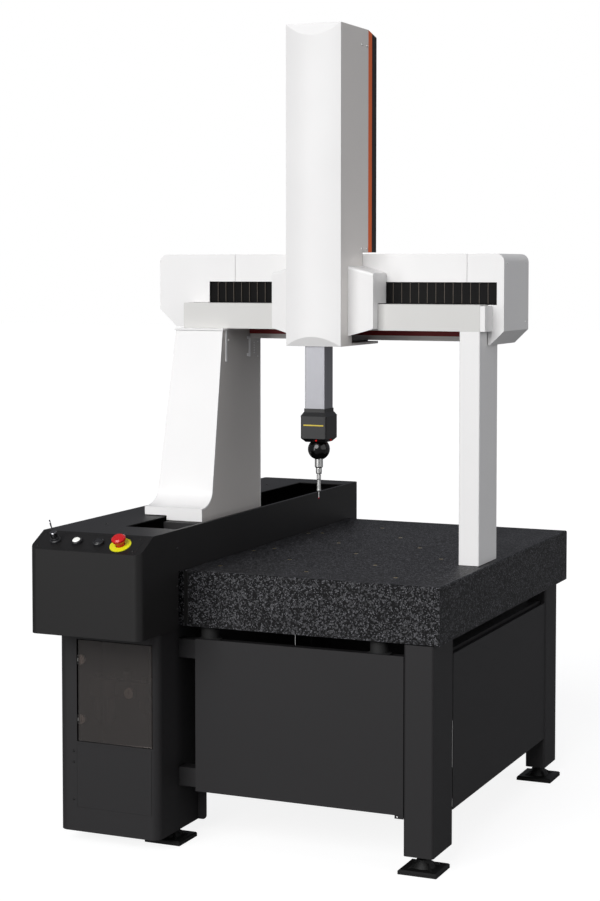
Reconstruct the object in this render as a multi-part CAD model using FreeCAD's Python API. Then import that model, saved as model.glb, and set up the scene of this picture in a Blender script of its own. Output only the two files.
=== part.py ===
import FreeCAD, Part
import math
import os

# Bridge-type coordinate measuring machine, millimetres.
# X runs across the bridge, Y along the table (operator in front, at -Y), Z up.
# The origin is at the middle of the overall footprint, on the floor.

V = FreeCAD.Vector

# ---------------------------------------------------------------- overall sizes
TOTAL_HEIGHT = 2185.0       # floor to the top of the spindle column
MACHINE_WIDTH = 1067.0      # guide cover's left side to the beam's right end cover
MACHINE_DEPTH = 1465.0      # control box front to rear cap back
LEFT = -MACHINE_WIDTH / 2
RIGHT = MACHINE_WIDTH / 2
FRONT = -MACHINE_DEPTH / 2
BACK = MACHINE_DEPTH / 2
GAP = 2.0                   # clearance between moving covers and fixed ones
FIT = 0.5                   # clearance of a seated piece
SHEET = 2.5                 # folded sheet-metal covers
PANEL = 2.0                 # flat infill panels

# ---------------------------------------------------------------- granite table
TABLE_TOP = 738.0
TABLE_THICK = 148.0
TABLE_LEFT_OFFSET = 135.5
TABLE_LEFT = LEFT + TABLE_LEFT_OFFSET
TABLE_RIGHT_OFFSET = 27.5
TABLE_RIGHT = RIGHT - TABLE_RIGHT_OFFSET
TABLE_FRONT_OFFSET = 242.0
TABLE_FRONT = FRONT + TABLE_FRONT_OFFSET
TABLE_BACK_OFFSET = 73.0
TABLE_CHAMFER = 3.0
TABLE_BOTTOM = TABLE_TOP - TABLE_THICK
TABLE_BACK = BACK - TABLE_BACK_OFFSET
INSERT_PITCH_X = 125.0      # fixing grid, every second hole left out
INSERT_PITCH_Y = 174.25
INSERT_FIRST_X_OFFSET = 247.0
INSERT_FIRST_X = TABLE_LEFT + INSERT_FIRST_X_OFFSET
INSERT_FIRST_Y_OFFSET = 103.5
INSERT_FIRST_Y = TABLE_FRONT + INSERT_FIRST_Y_OFFSET
INSERT_RADIUS = 6.25
INSERT_LENGTH = 25.0
INSERT_HOLE_RADIUS = 4.0    # M8
INSERT_COLUMNS = 5
INSERT_ROWS = 6
EDGE_INSERT_X_OFFSET = 211.5  # odd fixings beside the guide cover
EDGE_INSERT_X = TABLE_LEFT + EDGE_INSERT_X_OFFSET
EDGE_INSERT_FIRST_Y = 388.5 # from the granite's front
EDGE_INSERT_PITCH_Y = 388.0

# ---------------------------------------------------------------- stand
POST_BOTTOM = 49.0
POST_TOP = TABLE_BOTTOM - GAP
POST_WALL = 4.5
POST_BASE = 10.0            # thickness of the tapped base plate
POST_ROUND = 7.0            # rounded upright corners of the tubes
FRONT_RIGHT_WIDTH = 80.0
FRONT_RIGHT_DEPTH = 151.5
FRONT_RIGHT_INSET = 15.0    # outer side in from the granite's side
FRONT_RIGHT_PROUD = 2.0     # front in front of the granite
FRONT_LEFT_WIDTH = 78.0
FRONT_LEFT_DEPTH = 84.0
FRONT_LEFT_BEHIND = 2.5
LEFT_INSET = 80.0
REAR_WIDTH = 60.0
REAR_DEPTH = 117.0
REAR_RIGHT_INSET = 12.0
REAR_INSET = 62.0
POST_RIGHT = TABLE_RIGHT - FRONT_RIGHT_INSET
POST_FRONT = TABLE_FRONT - FRONT_RIGHT_PROUD
REAR_POST_RIGHT = TABLE_RIGHT - REAR_RIGHT_INSET
REAR_POST_BACK = TABLE_BACK - REAR_INSET
POST_LEFT = TABLE_LEFT + LEFT_INSET
LEFT_POST_FRONT = TABLE_FRONT + FRONT_LEFT_BEHIND
FRONT_RIGHT_POST = (POST_RIGHT - FRONT_RIGHT_WIDTH, POST_RIGHT, POST_FRONT, POST_FRONT + FRONT_RIGHT_DEPTH)
REAR_RIGHT_POST = (REAR_POST_RIGHT - REAR_WIDTH, REAR_POST_RIGHT, REAR_POST_BACK - REAR_DEPTH, REAR_POST_BACK)
FRONT_LEFT_POST = (POST_LEFT, POST_LEFT + FRONT_LEFT_WIDTH, LEFT_POST_FRONT, LEFT_POST_FRONT + FRONT_LEFT_DEPTH)
REAR_LEFT_POST = (POST_LEFT, POST_LEFT + REAR_WIDTH, REAR_POST_BACK - REAR_DEPTH, REAR_POST_BACK)
POSTS = (FRONT_RIGHT_POST, REAR_RIGHT_POST, FRONT_LEFT_POST, REAR_LEFT_POST)
RAIL_HEIGHT = 50.0
RAIL_WIDTH = 40.0
RAIL_WALL = 4.0
LEFT_RAIL_INSET = 10.0      # from the rear post's left side
RIGHT_RAIL_INSET = 1.0
UPPER_RAIL_TOP_OFFSET = 40.0
UPPER_RAIL_TOP = TABLE_BOTTOM - UPPER_RAIL_TOP_OFFSET
LOWER_RAIL_TOP = 205.0
PANEL_TOP_OFFSET = 7.0
PANEL_TOP = UPPER_RAIL_TOP + PANEL_TOP_OFFSET
PANEL_BOTTOM_OFFSET = 54.5
PANEL_BOTTOM = LOWER_RAIL_TOP - PANEL_BOTTOM_OFFSET
PANEL_RETURN = 8.0
SIDE_PANEL_TOP_OFFSET = 6.0
SIDE_PANEL_TOP = UPPER_RAIL_TOP - SIDE_PANEL_TOP_OFFSET
SIDE_PANEL_BOTTOM_OFFSET = 67.0
SIDE_PANEL_BOTTOM = LOWER_RAIL_TOP - SIDE_PANEL_BOTTOM_OFFSET
TAB_WIDTH = 24.0
TAB_DROP = 9.0
TAB_HOLE = 2.2
FRONT_PANEL_LEFT_OFFSET = 222.5
FRONT_PANEL_LEFT = TABLE_LEFT + FRONT_PANEL_LEFT_OFFSET
STUD_RADIUS = 8.0
THREAD_PLAY = 0.05          # between the smooth stud and its holes
STUD_TOP_OFFSET = 69.0
STUD_TOP = POST_BOTTOM + STUD_TOP_OFFSET
FOOT_SIZE = 104.0
FOOT_PLATE = 12.0
FOOT_HUB_TOP_OFFSET = 21.0
FOOT_HUB_TOP = FOOT_PLATE + FOOT_HUB_TOP_OFFSET
FOOT_HUB_RADIUS = 30.0
FOOT_HUB_TOP_RADIUS = 17.0
FOOT_RIB = 6.0
NUT_ACROSS_FLATS = 24.0
NUT_HEIGHT = 9.0
MOUNT_RADIUS = 32.0
FOOT_PLACES = ((36.5, 54.0), (20.0, 69.5), (48.0, 38.0), (30.0, 69.5))   # from each post's left front corner
FEET = tuple((post[0] + x, post[2] + y) for post, (x, y) in zip(POSTS, FOOT_PLACES))
MOUNT_FROM_LEFT = 248.0     # from the granite's sides
MOUNT_FROM_RIGHT = 176.0
MOUNT_FROM_FRONT = 40.5
MOUNT_FROM_BACK = 119.5
MOUNT_XS = (TABLE_LEFT + MOUNT_FROM_LEFT, TABLE_RIGHT - MOUNT_FROM_RIGHT)
GRANITE_MOUNTS = ((MOUNT_XS[0], TABLE_FRONT + MOUNT_FROM_FRONT), (MOUNT_XS[1], TABLE_FRONT + MOUNT_FROM_FRONT),
                  (sum(MOUNT_XS) / 2, TABLE_BACK - MOUNT_FROM_BACK))

# ---------------------------------------------------------------- guide cover and control box
COVER_TOP_OFFSET = 110.0
COVER_TOP = TABLE_TOP + COVER_TOP_OFFSET
COVER_BOTTOM_OFFSET = 2.0
COVER_BOTTOM = TABLE_BOTTOM - COVER_BOTTOM_OFFSET
COVER_RIGHT_OFFSET = 325.5
COVER_RIGHT = LEFT + COVER_RIGHT_OFFSET
COVER_FRONT_OFFSET = 210.5
COVER_FRONT = FRONT + COVER_FRONT_OFFSET
COVER_BACK_OFFSET = 69.5
COVER_BACK = BACK - COVER_BACK_OFFSET
RIM = 10.0                  # folded rim of the cover wall beside the table
SLOT_LEFT_OFFSET = 165.0
SLOT_LEFT = LEFT + SLOT_LEFT_OFFSET
SLOT_FRONT_OFFSET = 7.0
SLOT_FRONT = COVER_FRONT + SLOT_FRONT_OFFSET
SLOT_BACK_OFFSET = 26.0
SLOT_BACK = COVER_BACK - SLOT_BACK_OFFSET
SLOT_RIGHT = COVER_RIGHT - RIM
REAR_CORNER = 8.0
CORNER = 21.0               # rounded vertical corners
SLOPE_TOP_Y_OFFSET = 74.5
SLOPE_TOP_Y = FRONT + SLOPE_TOP_Y_OFFSET
SLOPE_DROP = 40.0
PANEL_MARGIN = 9.0
PANEL_THICK = 3.0
CONTROL_FIRST_X_OFFSET = 60.5
CONTROL_FIRST_X = LEFT + CONTROL_FIRST_X_OFFSET
CONTROL_PITCH = 63.5
CONTROL_ALONG = 46.0        # distance down the slope to the switches
ESTOP_DISC_RADIUS = 28.5
ESTOP_DISC_THICK = 2.0
ESTOP_RADIUS = 18.5
ESTOP_HEIGHT = 27.0
ESTOP_NECK = 12.0
COLLAR_RADIUS = 14.5
COLLAR_HEIGHT = 10.0
BUTTON_RADIUS = 10.5
RUNNING = 0.4               # clearance round a sliding button
SWITCH_HOLE = 12.2
KEY_BARREL_RADIUS = 9.0
KEY_BARREL_HEIGHT = 22.0
KEY_LENGTH = 38.0
KEY_THICK = 2.8
KEY_TURN = 31.0             # how far the key stands turned in its lock, degrees
KEY_BOW_RADIUS = 9.0

# ---------------------------------------------------------------- air cabinet
CABINET_RIGHT_OFFSET = 299.0
CABINET_RIGHT = LEFT + CABINET_RIGHT_OFFSET
CABINET_FRONT_OFFSET = 142.5
CABINET_FRONT = FRONT + CABINET_FRONT_OFFSET
CABINET_BACK_OFFSET = 232.0
CABINET_BACK = CABINET_FRONT + CABINET_BACK_OFFSET
CABINET_BOTTOM = 35.0
CABINET_CORNER = 26.0
BACK_PLATE_RIGHT_OFFSET = 24.5
BACK_PLATE_RIGHT = CABINET_RIGHT + BACK_PLATE_RIGHT_OFFSET
BACK_PLATE_THICK = 3.0
DOOR_LEFT_OFFSET = 61.0
DOOR_LEFT = LEFT + DOOR_LEFT_OFFSET
DOOR_RIGHT_OFFSET = 18.5
DOOR_RIGHT = CABINET_RIGHT - DOOR_RIGHT_OFFSET
DOOR_BOTTOM_OFFSET = 244.0
DOOR_BOTTOM = CABINET_BOTTOM + DOOR_BOTTOM_OFFSET
DOOR_TOP_OFFSET = 38.5
DOOR_TOP = COVER_BOTTOM - DOOR_TOP_OFFSET
DOOR_THICK = 5.0
DOOR_GAP = 2.0
DOOR_HINGE_GAP = 4.5
HINGE_OUT = 1.9             # pin beside the door's edge
HINGE_IN = 1.6              # pin behind the door's face
HINGE_X = DOOR_LEFT - HINGE_OUT
HINGE_Y = CABINET_FRONT + HINGE_IN
HINGE_PIN = 0.9
HINGE_FROM_BOTTOM = 57.0
HINGE_FROM_TOP = 53.5
HINGE_HEIGHTS = (DOOR_BOTTOM + HINGE_FROM_BOTTOM, DOOR_TOP - HINGE_FROM_TOP)
CUP_RADIUS = 13.0
CUP_THICK = 7.0
AIR_UNIT_Y_OFFSET = 37.0
AIR_UNIT_Y = CABINET_FRONT + AIR_UNIT_Y_OFFSET
BOWL_RADIUS = 12.0
BOWL_BOTTOM_OFFSET = 42.0
BOWL_BOTTOM = DOOR_BOTTOM + BOWL_BOTTOM_OFFSET
FILTER_HEAD_BOTTOM_OFFSET = 118.0
FILTER_HEAD_BOTTOM = DOOR_BOTTOM + FILTER_HEAD_BOTTOM_OFFSET
FILTER_HEAD_TOP_OFFSET = 49.0
FILTER_HEAD_TOP = FILTER_HEAD_BOTTOM + FILTER_HEAD_TOP_OFFSET
FILTER_FROM_DOOR = 41.0
FILTER_PITCH = 38.5
FILTER_XS = (DOOR_LEFT + FILTER_FROM_DOOR, DOOR_LEFT + FILTER_FROM_DOOR + FILTER_PITCH)
SEPARATOR_BOTTOM = 73.0     # above the door's lower edge
FILTER_HEAD_WIDTH = 36.0
SEPARATOR_X_OFFSET = 41.0
SEPARATOR_X = DOOR_RIGHT - SEPARATOR_X_OFFSET
REGULATOR_X_OFFSET = 91.0
REGULATOR_X = DOOR_RIGHT - REGULATOR_X_OFFSET
GAUGE_X_OFFSET = 73.0
GAUGE_X = DOOR_RIGHT - GAUGE_X_OFFSET
GAUGE_Z_OFFSET = 19.0
GAUGE_Z = FILTER_HEAD_BOTTOM + GAUGE_Z_OFFSET
GAUGE_RADIUS = 16.0

# ---------------------------------------------------------------- bridge
LEG_INNER_OFFSET = 48.5     # left leg's side towards the table
LEG_INNER = COVER_RIGHT - LEG_INNER_OFFSET
LEG_FOOT_OUTER_OFFSET = 176.5
LEG_FOOT_OUTER = LEG_INNER - LEG_FOOT_OUTER_OFFSET
LEG_KNEE_OUTER_OFFSET = 169.0
LEG_KNEE_OUTER = LEG_INNER - LEG_KNEE_OUTER_OFFSET
LEG_TOP_OUTER_OFFSET = 145.5
LEG_TOP_OUTER = LEG_INNER - LEG_TOP_OUTER_OFFSET
LEG_TOP_Z_OFFSET = 626.0    # both legs carry the beam at this height
LEG_TOP_Z = TABLE_TOP + LEG_TOP_Z_OFFSET
LEG_CAP = 5.5
LEG_CAP_OVERHANG = 3.0
FOOT_FRONT_OFFSET = 228.0
FOOT_FRONT = SLOT_FRONT + FOOT_FRONT_OFFSET
LEG_FRONT_TOP_OFFSET = 132.0
LEG_FRONT_TOP = FOOT_FRONT + LEG_FRONT_TOP_OFFSET
LEG_FRONT_BOTTOM_OFFSET = 66.0
LEG_FRONT_BOTTOM = FOOT_FRONT + LEG_FRONT_BOTTOM_OFFSET
LEG_FLARE_Z_OFFSET = 67.0
LEG_FLARE_Z = COVER_TOP + LEG_FLARE_Z_OFFSET
FOOT_TOP_Z_OFFSET = 25.0
FOOT_TOP_Z = COVER_TOP + FOOT_TOP_Z_OFFSET
LEG_REAR_OFFSET = 384.0
LEG_REAR = FOOT_FRONT + LEG_REAR_OFFSET
FOOT_OVERHANG_GAP = 2.5     # foot above the guide cover's top
FOOT_DIP = 10.0             # how far the foot reaches down into the slot
LEG_WALL = 4.0
BASE_PLATE_TOP_OFFSET = 12.0
BASE_PLATE_TOP = COVER_TOP - BASE_PLATE_TOP_OFFSET
BASE_PLATE_THICK = 24.0
BASE_PLATE_PLAY = 7.0       # to each side of the slot
CHEEK_GAP = 16.0            # cheeks that hold the side air pads
CHEEK_THICK = 10.0
CHEEK_LIFT = 8.0
BASE_PLATE_FRONT_OFFSET = 25.0
BASE_PLATE_FRONT = FOOT_FRONT - BASE_PLATE_FRONT_OFFSET
BASE_PLATE_BACK_OFFSET = 15.0
BASE_PLATE_BACK = LEG_REAR + BASE_PLATE_BACK_OFFSET
GUIDE_LEFT_OFFSET = 38.5
GUIDE_LEFT = SLOT_LEFT + GUIDE_LEFT_OFFSET
GUIDE_RIGHT_OFFSET = 52.0
GUIDE_RIGHT = SLOT_RIGHT - GUIDE_RIGHT_OFFSET
GUIDE_TOP_OFFSET = 54.0
GUIDE_TOP = TABLE_TOP + GUIDE_TOP_OFFSET
GUIDE_FRONT_OFFSET = 35.0
GUIDE_FRONT = SLOT_FRONT + GUIDE_FRONT_OFFSET
GUIDE_BACK_OFFSET = 14.5
GUIDE_BACK = TABLE_BACK - GUIDE_BACK_OFFSET
SCALE_THICK = 6.0           # measuring scale on the guide's side
SCALE_INSET = 60.0
SCALE_LOW = 20.0
SCALE_HEIGHT = 18.0
DRIVE_INSET = 20.0          # friction drive bar beside the guide
DRIVE_FROM_EDGE = 6.0
DRIVE_FOOT = 30.0
DRIVE_THICK = 12.0
DRIVE_HEIGHT = 22.0
AIR_GAP = 0.3               # air pads fly this far off their guide
PAD_RADIUS = 24.0
PAD_THICK = 14.0
PAD_INSET = 60.0
SIDE_PAD_RADIUS = 18.0
LEG_PAD_INSET = 35.0
LEG_WEB_LOW = 40.0          # web inside the right leg that rests on its pads
LEG_WEB_THICK = 12.0
RIGHT_LEG_X_OFFSET = 103.5
RIGHT_LEG_X = RIGHT - RIGHT_LEG_X_OFFSET
RIGHT_LEG_WIDTH = 57.0
RIGHT_LEG_FRONT_OFFSET = 158.5
RIGHT_LEG_FRONT = FOOT_FRONT + RIGHT_LEG_FRONT_OFFSET
RIGHT_LEG_DEPTH = 155.0
RIGHT_LEG_LIFT = 1.2
BEAM_FACE_OFFSET = 100.5    # front guide face of the beam
BEAM_FACE = RIGHT_LEG_FRONT + BEAM_FACE_OFFSET
BEAM_BACK_OFFSET = 160.0
BEAM_BACK = BEAM_FACE + BEAM_BACK_OFFSET
BEAM_WALL = 14.0
BEAM_SCALE_INSET = 30.0     # measuring scale along the ledge
BEAM_SCALE_WIDTH = 12.0
BEAM_SCALE_THICK = 5.0
BEAM_TOP_OFFSET = 184.0
BEAM_TOP = LEG_TOP_Z + BEAM_TOP_OFFSET
BEAM_LEFT_OFFSET = 11.0
BEAM_LEFT = LEG_TOP_OUTER + BEAM_LEFT_OFFSET
LEDGE_FRONT_OFFSET = 6.5
LEDGE_FRONT = RIGHT_LEG_FRONT + LEDGE_FRONT_OFFSET
LEDGE_TOP_OFFSET = 60.0
LEDGE_TOP = LEG_TOP_Z + LEDGE_TOP_OFFSET
SKIRT_FRONT = RIGHT_LEG_FRONT    # grey cover in front of the ledge
SKIRT_TOP_OFFSET = 11.0
SKIRT_TOP = LEDGE_TOP + SKIRT_TOP_OFFSET
COVER_PLANE_OFFSET = 38.0   # front plane of the white beam covers
COVER_PLANE = BEAM_FACE - COVER_PLANE_OFFSET
BEAM_COVER_BACK_OFFSET = 24.0
BEAM_COVER_BACK = BEAM_BACK + BEAM_COVER_BACK_OFFSET
BEAM_COVER_TOP_OFFSET = 23.0
BEAM_COVER_TOP = BEAM_TOP + BEAM_COVER_TOP_OFFSET
WINDOW_BOTTOM_OFFSET = 1.0
WINDOW_BOTTOM = SKIRT_TOP - WINDOW_BOTTOM_OFFSET
WINDOW_TOP_OFFSET = 60.5
WINDOW_TOP = WINDOW_BOTTOM + WINDOW_TOP_OFFSET
LEFT_COVER_LEFT_OFFSET = 35.0
LEFT_COVER_LEFT = LEFT + LEFT_COVER_LEFT_OFFSET
WINDOW_LEFT_OFFSET = 158.0
WINDOW_LEFT = LEFT_COVER_LEFT + WINDOW_LEFT_OFFSET
WINDOW_RIGHT_OFFSET = 20.0
WINDOW_RIGHT = RIGHT - WINDOW_RIGHT_OFFSET
LEFT_SEAM_OFFSET = 239.0
LEFT_SEAM = LEFT_COVER_LEFT + LEFT_SEAM_OFFSET
RIGHT_SEAM_OFFSET = 104.0
RIGHT_SEAM = RIGHT - RIGHT_SEAM_OFFSET
BRACKET = 20.0              # blocks that carry the covers
BRACKET_INSET = 70.0
END_CORNER = 22.0
LEFT_CHAMFER = 53.0         # slanted lower corners of the end covers
LEFT_CHAMFER_RISE = 50.0
RIGHT_CHAMFER = 39.0
RIGHT_COVER_DROP = 38.0     # the right cover reaches below the beam
END_TAB_WIDTH = 14.0
LOWER_RAIL_FRONT_OFFSET = 46.0
LOWER_RAIL_FRONT = BEAM_FACE + LOWER_RAIL_FRONT_OFFSET
LOWER_RAIL_DEPTH = 26.0
LOWER_RAIL_BOTTOM_OFFSET = 32.0
LOWER_RAIL_BOTTOM = LEG_TOP_Z - LOWER_RAIL_BOTTOM_OFFSET
SEAL_THICK = 4.0
SEAL_BOTTOM_OFFSET = 13.5
SEAL_BOTTOM = LOWER_RAIL_BOTTOM + SEAL_BOTTOM_OFFSET

# ---------------------------------------------------------------- carriage and spindle column
COLUMN_CENTRE_OFFSET = 305.0
COLUMN_CENTRE = LEG_INNER + COLUMN_CENTRE_OFFSET
COLUMN_WIDTH = 160.0
COLUMN_FRONT_OFFSET = 158.5
COLUMN_FRONT = COVER_PLANE - COLUMN_FRONT_OFFSET
COLUMN_BULGE = 12.0
COLUMN_BOTTOM_OFFSET = 42.0
COLUMN_BOTTOM = LEG_TOP_Z - COLUMN_BOTTOM_OFFSET
FACET_TOP = 32.0            # height of the lens-shaped cuts in the curved front
FACET_BOTTOM = 26.0
FRONT_RETURN = 3.0
SIDE_BACK_OFFSET = 1.0
SIDE_BACK = BEAM_FACE + SIDE_BACK_OFFSET
TRIM_BACK_OFFSET = 27.0
TRIM_BACK = SIDE_BACK + TRIM_BACK_OFFSET
COLUMN_BACK_OFFSET = 34.0
COLUMN_BACK = TRIM_BACK + COLUMN_BACK_OFFSET
BEVEL = 15.0
CARRIAGE_OVER_BEAM = BEAM_COVER_TOP + GAP + 3.0
LOWER_SIDE_BACK_OFFSET = 17.5
LOWER_SIDE_BACK = RIGHT_LEG_FRONT - LOWER_SIDE_BACK_OFFSET
BASE_BACK_OFFSET = 32.0
BASE_BACK = LOWER_RAIL_FRONT + BASE_BACK_OFFSET
BASE_THICK = 6.5
WING_REACH = 69.0
WING_FRONT_INNER_OFFSET = 49.5
WING_FRONT_INNER = COLUMN_FRONT + WING_FRONT_INNER_OFFSET
WING_FRONT_OUTER_OFFSET = 59.5
WING_FRONT_OUTER = COLUMN_FRONT + WING_FRONT_OUTER_OFFSET
WING_INNER_BOTTOM_OFFSET = 15.0
WING_INNER_BOTTOM = LEG_TOP_Z - WING_INNER_BOTTOM_OFFSET
WING_INNER_TOP_OFFSET = 103.0
WING_INNER_TOP = SKIRT_TOP + WING_INNER_TOP_OFFSET
WING_OUTER_BOTTOM_OFFSET = 4.5
WING_OUTER_BOTTOM = LEG_TOP_Z + WING_OUTER_BOTTOM_OFFSET
WING_OUTER_TOP_OFFSET = 84.0
WING_OUTER_TOP = SKIRT_TOP + WING_OUTER_TOP_OFFSET
WING_ROUND = 7.0
NECK_WIDTH = 40.0
BALANCE_RADIUS = 24.0       # air cylinder that carries the spindle
BALANCE_TOP_OFFSET = 35.0
BALANCE_TOP = TOTAL_HEIGHT - BALANCE_TOP_OFFSET
BALANCE_BEHIND = 82.0       # behind the spindle's axis
BALANCE_FLANGE = 56.0
BALANCE_FLANGE_THICK = 18.0
MOTOR_RADIUS = 36.0
MOTOR_LENGTH = 80.0
MOTOR_FLANGE = 80.0
MOTOR_FLANGE_THICK = 15.0
FRAME_TOP_OFFSET = 396.0
FRAME_TOP = LEG_TOP_Z + FRAME_TOP_OFFSET
FRAME_WALL = 5.5
SPINDLE_Y_OFFSET = 39.5
SPINDLE_Y = COLUMN_FRONT + SPINDLE_Y_OFFSET
QUILL_WIDTH = 58.0
QUILL_DEPTH = 58.0
QUILL_BOTTOM_OFFSET = 169.0
QUILL_BOTTOM = COLUMN_BOTTOM - QUILL_BOTTOM_OFFSET
QUILL_TOP_OFFSET = 180.0
QUILL_TOP = TOTAL_HEIGHT - QUILL_TOP_OFFSET
QUILL_WALL = 6.0
QUILL_CLEARANCE = 0.5
PLEAT_PITCH = 24.6
PLEAT_DEPTH = 18.0
PLEAT_THICK = 1.6

# ---------------------------------------------------------------- probe head
HEAD_SIZE = 77.0
HEAD_COLLAR = 10.0
HEAD_FLARE = 11.0
HEAD_BODY = 60.0
HEAD_TAPER = 10.0
BALL_RADIUS = 30.0
BALL_DROP = 20.5            # ball centre below the head's underside
BALL_SLOT = 27.0
BALL_WINDOW_TOP = 20.0      # the probe rises 15 degrees above level through the side window
PROBE_RADIUS = 11.2
PROBE_TOP_DROP = 12.0
PROBE_LENGTH = 40.0
MODULE_RADIUS = 8.2
MODULE_LENGTH = 17.0
STEM_RADIUS = 5.8
STYLUS_PIVOT_RADIUS = 2.6
PIVOT_LENGTH = 8.0          # rocking barrel at the stylus's root
PIVOT_PLAY = 0.06
PIVOT_DROP = 1.9            # shoulder below the pivot, so the stylus can lean
STEM_LENGTH = 46.0
STYLUS_RADIUS = 1.4
STYLUS_LENGTH = 18.0
TIP_RADIUS = 2.0


# ---------------------------------------------------------------- small builders
def block(x0, x1, y0, y1, z0, z1):
    """Box between two corners."""
    return Part.makeBox(x1 - x0, y1 - y0, z1 - z0, V(x0, y0, z0))


def rod(x, y, z0, z1, radius):
    """Upright cylinder."""
    return Part.makeCylinder(radius, z1 - z0, V(x, y, z0))


def prism(points, direction):
    """Closed polygon pushed along a vector."""
    wire = Part.makePolygon(list(points) + [points[0]])
    return Part.Face(wire).extrude(direction)


def prism_x(outline, x0, x1):
    """Outline of (y, z) points pushed along X."""
    return prism([V(x0, y, z) for y, z in outline], V(x1 - x0, 0, 0))


def prism_y(outline, y0, y1):
    """Outline of (x, z) points pushed along Y."""
    return prism([V(x, y0, z) for x, z in outline], V(0, y1 - y0, 0))


def prism_z(outline, z0, z1):
    """Outline of (x, y) points pushed along Z."""
    return prism([V(x, y, z0) for x, y in outline], V(0, 0, z1 - z0))


def upright_edges(shape, test):
    """Vertical straight edges whose middle passes a test on x and y."""
    found = []
    for edge in shape.Edges:
        box = edge.BoundBox
        upright = box.XLength < 0.01 and box.YLength < 0.01 and box.ZLength > 1
        if upright and test(box.XMin, box.YMin):
            found.append(edge)
    return found


def revolve_z(outline, x, y):
    """Half profile of (radius, z) points turned about an upright axis."""
    points = [V(x + r, y, z) for r, z in outline]
    face = Part.Face(Part.makePolygon(points + [points[0]]))
    return face.revolve(V(x, y, 0), V(0, 0, 1), 360)


NODES = {}


def keep(name, *solids):
    """Store one node as a single solid or a group of separate ones."""
    NODES[name] = solids[0] if len(solids) == 1 else Part.makeCompound(list(solids))


# ---------------------------------------------------------------- stand
def post(size, foot):
    """Square tube with a tapped base plate for its levelling foot."""
    x0, x1, y0, y1 = size
    outer = block(x0, x1, y0, y1, POST_BOTTOM, POST_TOP)
    outer = outer.makeFillet(POST_ROUND, upright_edges(outer, lambda x, y: True))
    wall = POST_WALL
    inner = block(x0 + wall, x1 - wall, y0 + wall, y1 - wall, POST_BOTTOM + POST_BASE, POST_TOP + 1)
    inner = inner.makeFillet(POST_ROUND - wall, upright_edges(inner, lambda x, y: True))
    bore = rod(foot[0], foot[1], POST_BOTTOM - 1, POST_BOTTOM + POST_BASE + 1, STUD_RADIUS + THREAD_PLAY)
    return outer.cut(inner).cut(bore)


def rail_x(x0, x1, y, top):
    """Horizontal tube across the stand, centred on y."""
    y0 = y - RAIL_WIDTH / 2
    outer = block(x0, x1, y0, y0 + RAIL_WIDTH, top - RAIL_HEIGHT, top)
    inner = block(x0 - 1, x1 + 1, y0 + RAIL_WALL, y0 + RAIL_WIDTH - RAIL_WALL,
                  top - RAIL_HEIGHT + RAIL_WALL, top - RAIL_WALL)
    return outer.cut(inner)


def rail_y(y0, y1, x, top):
    """Horizontal tube from front to back, centred on x."""
    x0 = x - RAIL_WIDTH / 2
    outer = block(x0, x0 + RAIL_WIDTH, y0, y1, top - RAIL_HEIGHT, top)
    inner = block(x0 + RAIL_WALL, x0 + RAIL_WIDTH - RAIL_WALL, y0 - 1, y1 + 1,
                  top - RAIL_HEIGHT + RAIL_WALL, top - RAIL_WALL)
    return outer.cut(inner)


def stand():
    """Four posts and the eight rails between them."""
    keep("stand_posts", *[post(size, foot) for size, foot in zip(POSTS, FEET)])
    front_y = GRANITE_MOUNTS[0][1]
    rear_y = GRANITE_MOUNTS[2][1]
    left_x = REAR_LEFT_POST[0] + RAIL_WIDTH / 2 + LEFT_RAIL_INSET
    right_x = REAR_RIGHT_POST[0] + RAIL_WIDTH / 2 + RIGHT_RAIL_INSET
    rails = []
    for top in (UPPER_RAIL_TOP, LOWER_RAIL_TOP):
        rails.append(rail_x(FRONT_LEFT_POST[1], FRONT_RIGHT_POST[0], front_y, top))
        rails.append(rail_x(REAR_LEFT_POST[1], REAR_RIGHT_POST[0], rear_y, top))
        rails.append(rail_y(FRONT_LEFT_POST[3], REAR_LEFT_POST[2], left_x, top))
        rails.append(rail_y(FRONT_RIGHT_POST[3], REAR_RIGHT_POST[2], right_x, top))
    keep("stand_rails", *rails)


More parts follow.
